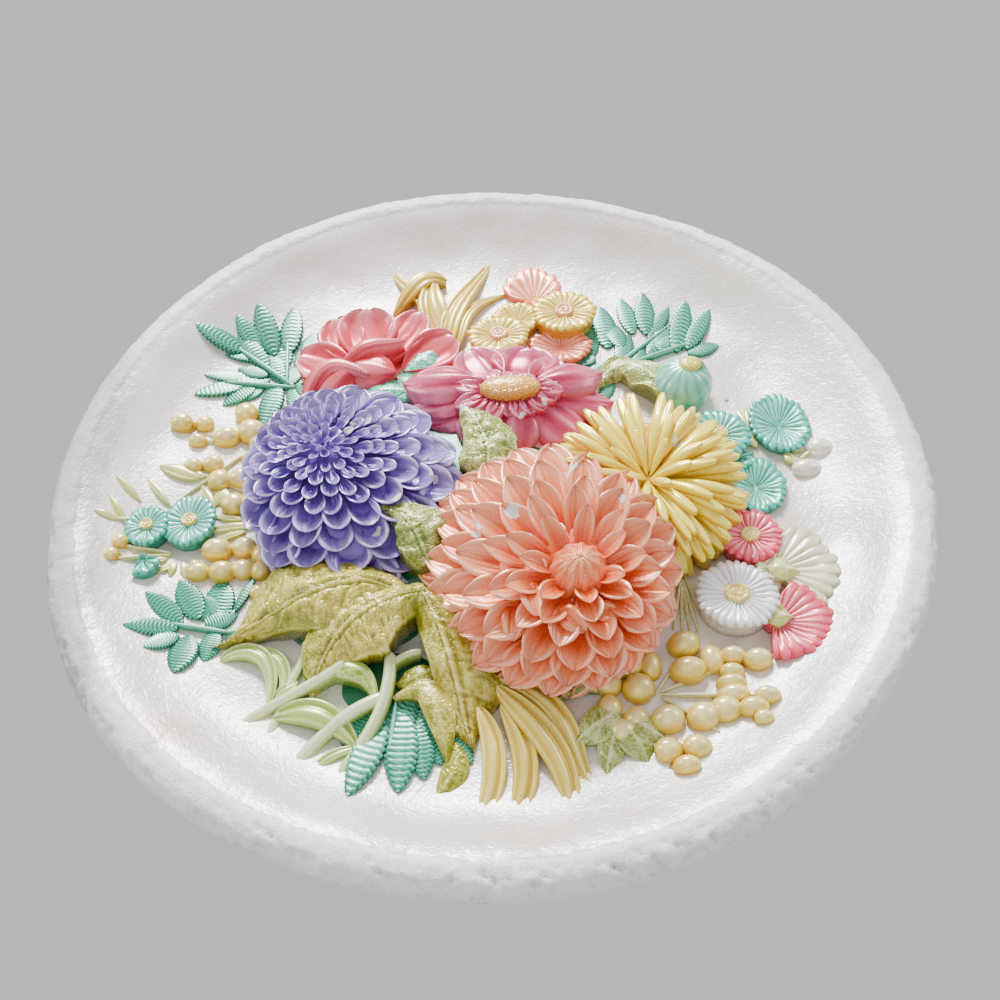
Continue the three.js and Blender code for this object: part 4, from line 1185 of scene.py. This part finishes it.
def make_berries():
    """Berries in sprays: ovals with a pearly skin, each with its x, z, half width and half
    height, sitting in a skirt of the same paint."""
    berries = [(-130.6, 37, 4.7, 3.9), (-121.5, 37.5, 3.9, 3.5), (-123, 28, 3.9, 2.8),
               (-111.5, 29, 5.6, 4.0), (-103.8, 43, 4.9, 4.8), (-100.5, 32, 5.9, 5.2),
               (-96.6, 25.5, 4.5, 2.8), (-83, 34, 4.9, 4.4), (-83.5, 28, 5.0, 3.5), (-75, 36, 4.3, 3),
               (-64, 51, 4.4, 4.0), (-69, 41.5, 4.3, 3.4), (-123.6, 14, 4.1, 3.2), (-115.8, 15, 4.5, 3.5),
               (-111.5, 6, 4.9, 4.6), (-101.3, 6, 5.7, 4.4), (-99.6, 17, 4.4, 3.8), (-93, 14.7, 5.3, 4.8),
               (-104, -7, 5.1, 4.8), (-96.5, -6.5, 4.6, 4.8), (-90, 22, 4.2, 3.8), (-145, -28, 3.2, 3.0),
               (-146.5, -35, 2.9, 2.7), (-108, -30, 5.8, 4.4), (-98, -29, 4.8, 4.2), (-91, -32, 4, 4.4),
               (-114.4, -40, 4.5, 3.6), (-105, -40.5, 5.2, 4.2), (-96.5, -39.5, 4.4, 3.9),
               (-90.5, -40, 3.8, 4), (-90, -50, 3.2, 3), (68.3, -82, 5.8, 4.9), (68.5, -93, 6.5, 4.7),
               (78.2, -88.4, 4.3, 5.2), (86.1, -87.5, 4.7, 3.1), (84.7, -94.2, 4.4, 3.0),
               (94, -90, 5.1, 3.8), (83, -99.5, 5.4, 3.0), (82.5, -104.5, 5.8, 3.4), (94.7, -106, 4.6, 3.0),
               (79, -110, 5.5, 4.4), (88.8, -110.5, 5.3, 3.4), (71, -112, 5.6, 4.8),
               (91.5, -115.5, 3.4, 2.5), (58.9, -112, 5.8, 5.0), (58, -124.5, 4.8, 4.3),
               (67.5, -124, 4.9, 3.9), (62, -131.5, 4.5, 3.2), (49, -81.5, 4, 3.2), (47, -89, 5.4, 4.8),
               (56, -89.5, 4.0, 5.6), (40, -96, 4.9, 5.2), (50, -99, 5.6, 5.4), (39, -106.5, 4.4, 5.2),
               (47.5, -111, 4.4, 4.4), (43.5, -116, 5.0, 4.6)]
    casting = Casting()
    steps = np.radians(np.linspace(-38, 90, 12))
    rise = np.sin(steps)
    for x, z, rx, rz in berries:
        rx, rz = rx * 1.06, rz * 1.08
        base = face_height(x, z) + rx * 0.25
        skirt = [(0, base - 3), (rx * 1.16, base - 2.4), (rx * 1.0, base - rx * 0.44)]
        profile = skirt + [(rx * math.cos(s), base + rx * 0.86 * math.sin(s)) for s in steps[1:]]
        # relief rising with height: painted highlight on the top of each berry, painted shade at its foot
        # and skirt
        mark = np.concatenate([[0.0, 0.0], 0.15 + 0.6 * rise[1:-1]])[:, None] + np.zeros((1, 28))
        turned(casting, x, z, profile, 28, (random.uniform(-0.15, 0.15), 0.08), (1, rz / rx), relief=mark,
               tint=random.random())
    casting.make("berries", pearl("berry_pearl", (196, 154, 10), (236, 206, 80), (255, 244, 190),
                                  metal=0.25, rough=0.24, grain=0.06, speckle=0.04))


def make_fine_foliage():
    """Small lance leaves, twigs and needles drawn low on the face."""
    pale = Casting()
    lances = [(-120, 8, -137, 14, 7), (-118, 9, -127, 12, 4), (-141, -6, -152, 5, 3),
              (-130, -6, -141, 7, 3), (-112, -8, -119, 5, 4), (-147, -17, -156, -15, 3),
              (-143, -20, -153, -5, 3), (-124, -36, -131, -40, 3), (-124, -34, -125, -42, 3),
              (-121, -34, -119, -42, 3), (-118, -33, -113, -39, 3), (-127, -33, -135, -36, 3),
              (-96, -17, -112, -18, 3.5), (-98, -20, -112, -25, 3), (-100, -14, -112, -12, 3),
              (-104, -20, -108, -28, 2.5), (-108, 2, -112, -6, 6), (110, 22, 107, 34, 3.4),
              (110, 22, 111, 35, 3.2), (112, 20, 116, 31, 3), (112, 12, 108, 20, 4.5),
              (122, 6, 127, 2, 4.5), (126, 9, 131, 11, 4.5)]
    twigs = [(-96, -18, -116, -20), (-113, 30, -120, 33), (-126, -30, -144, -29), (-126, -31, -145, -36),
             (-104, 20, -128, -4), (-96, -2, -122, 12), (-113, 29, -123, 28), (-112, -14, -150, -17),
             (72, -50, 66, -74), (72, -50, 69, -76), (72, -50, 72, -77), (72, -50, 75, -76),
             (73, -50, 78, -72), (70, -50, 62, -66), (58, -100, 84, -90), (58, -101, 90, -104),
             (58, -102, 76, -118), (56, -101, 68, -84), (110, 20, 128, 4), (128, 4, 136, 9),
             (126, 5, 130, 0)]
    laid(pale, lances, 0.9, 1.6, None, leaf_outline(0.45, 0.7), strap, 1.2, 16, 16, floor=13.0)
    laid(pale, twigs, 0.7, 0.8, 1.5, leaf_outline(0.5, 0.3), round_strip(0.42, 0.5, 0.3), 1.0, 18, 10,
         floor=13.0)
    for x, z in ((109, -53), (103, -73)):
        leaf(pale, [(x - 5, z + 1, 20), (x, z, 24), (x + 7, z - 1, 19)], [2, 4, 5, 5, 3, 0], None, 4,
             rings=20, around=24, puff=0.3)
    pale.make("fine_foliage",
              pearl("fine_foliage_paint", (156, 164, 50), (206, 206, 122), (242, 240, 200), grain=0.4))
    buds = Casting()
    for x, z, rx, rz in ((137, 8.5, 5.4, 4.2), (130, -1, 6, 4)):
        base = face_height(x, z)
        profile = [(0, base - 2), (rx, base - 1), (rx * 1.02, base + 0.8), (rx * 0.86, base + 2.2),
                   (rx * 0.5, base + 3.3), (0, base + 3.7)]
        turned(buds, x, z, profile, 30, (0, 0), (1, rz / rx), 0.6)
    buds.make("cream_buds", pearl("cream_bud_paint", (206, 196, 160), (238, 232, 212), (252, 250, 242)))


# ---- the stage ----

def make_stage():
    """A pale floor under the hanging plaque, soft lamps, and the camera."""
    bpy.ops.mesh.primitive_plane_add(size=12, location=(0, 0, -1.25))
    floor = bpy.context.object
    floor.name = "floor"
    paint, shader = new_paint("pale_floor")
    shader.inputs["Base Color"].default_value = (0.72, 0.72, 0.71, 1)
    shader.inputs["Roughness"].default_value = 0.9
    floor.data.materials.append(paint)
    world = bpy.data.worlds.new("studio")
    world.use_nodes = True
    background = world.node_tree.nodes["Background"]
    background.inputs["Color"].default_value = (0.8, 0.81, 0.83, 1)
    background.inputs["Strength"].default_value = 0.85
    bpy.context.scene.world = world
    lamps = (("key", (-0.12, -0.8, 1.0), 40.0, 0.42), ("side", (-1.2, -0.8, 0.3), 7.0, 0.6),
             ("right", (1.1, -0.9, 0.5), 5.0, 0.5), ("low", (-0.2, -1.0, -0.7), 2.5, 0.8),
             ("behind", (0.6, 1.6, 0.9), 9.0, 1.6))
    for name, spot, power, size in lamps:
        light = bpy.data.lights.new(name, "AREA")
        light.energy, light.size = power, size
        lamp = bpy.data.objects.new(name, light)
        bpy.context.collection.objects.link(lamp)
        aim(lamp, spot, (0, 0, 0))
    elevation, distance, roll = math.radians(51.79), 443.7, math.radians(-2.54)
    target_x, target_z, level = 3.97, -16.83, 24.0
    eye_point = place((target_x, target_z - distance * math.cos(elevation),
                       level + distance * math.sin(elevation)))
    camera = bpy.data.objects.new("camera", bpy.data.cameras.new("camera"))
    bpy.context.collection.objects.link(camera)
    half_sensor, half_view = 18, math.radians(24)
    camera.data.lens = half_sensor / math.tan(half_view)
    camera.data.clip_start = 0.01
    aim(camera, eye_point, place((target_x, target_z, level)), roll)
    bpy.context.scene.camera = camera


def aim(thing, spot, target, roll=0.0):
    """Puts a lamp or the camera at spot, looking at target, rolled about its own line of sight."""
    spot, target = Vector(spot), Vector(target)
    turn = (target - spot).to_track_quat("-Z", "Y").to_matrix().to_4x4()
    thing.matrix_world = Matrix.Translation(spot) @ turn @ Matrix.Rotation(roll, 4, "Z")


make_dish()
make_bed()
make_coral()
make_purple()
make_yellow()
make_magenta()
make_pink()
make_daisies()
make_pod()
make_leaves()
make_blades()
make_stems()
make_ferns()
make_berries()
make_fine_foliage()
make_stage()
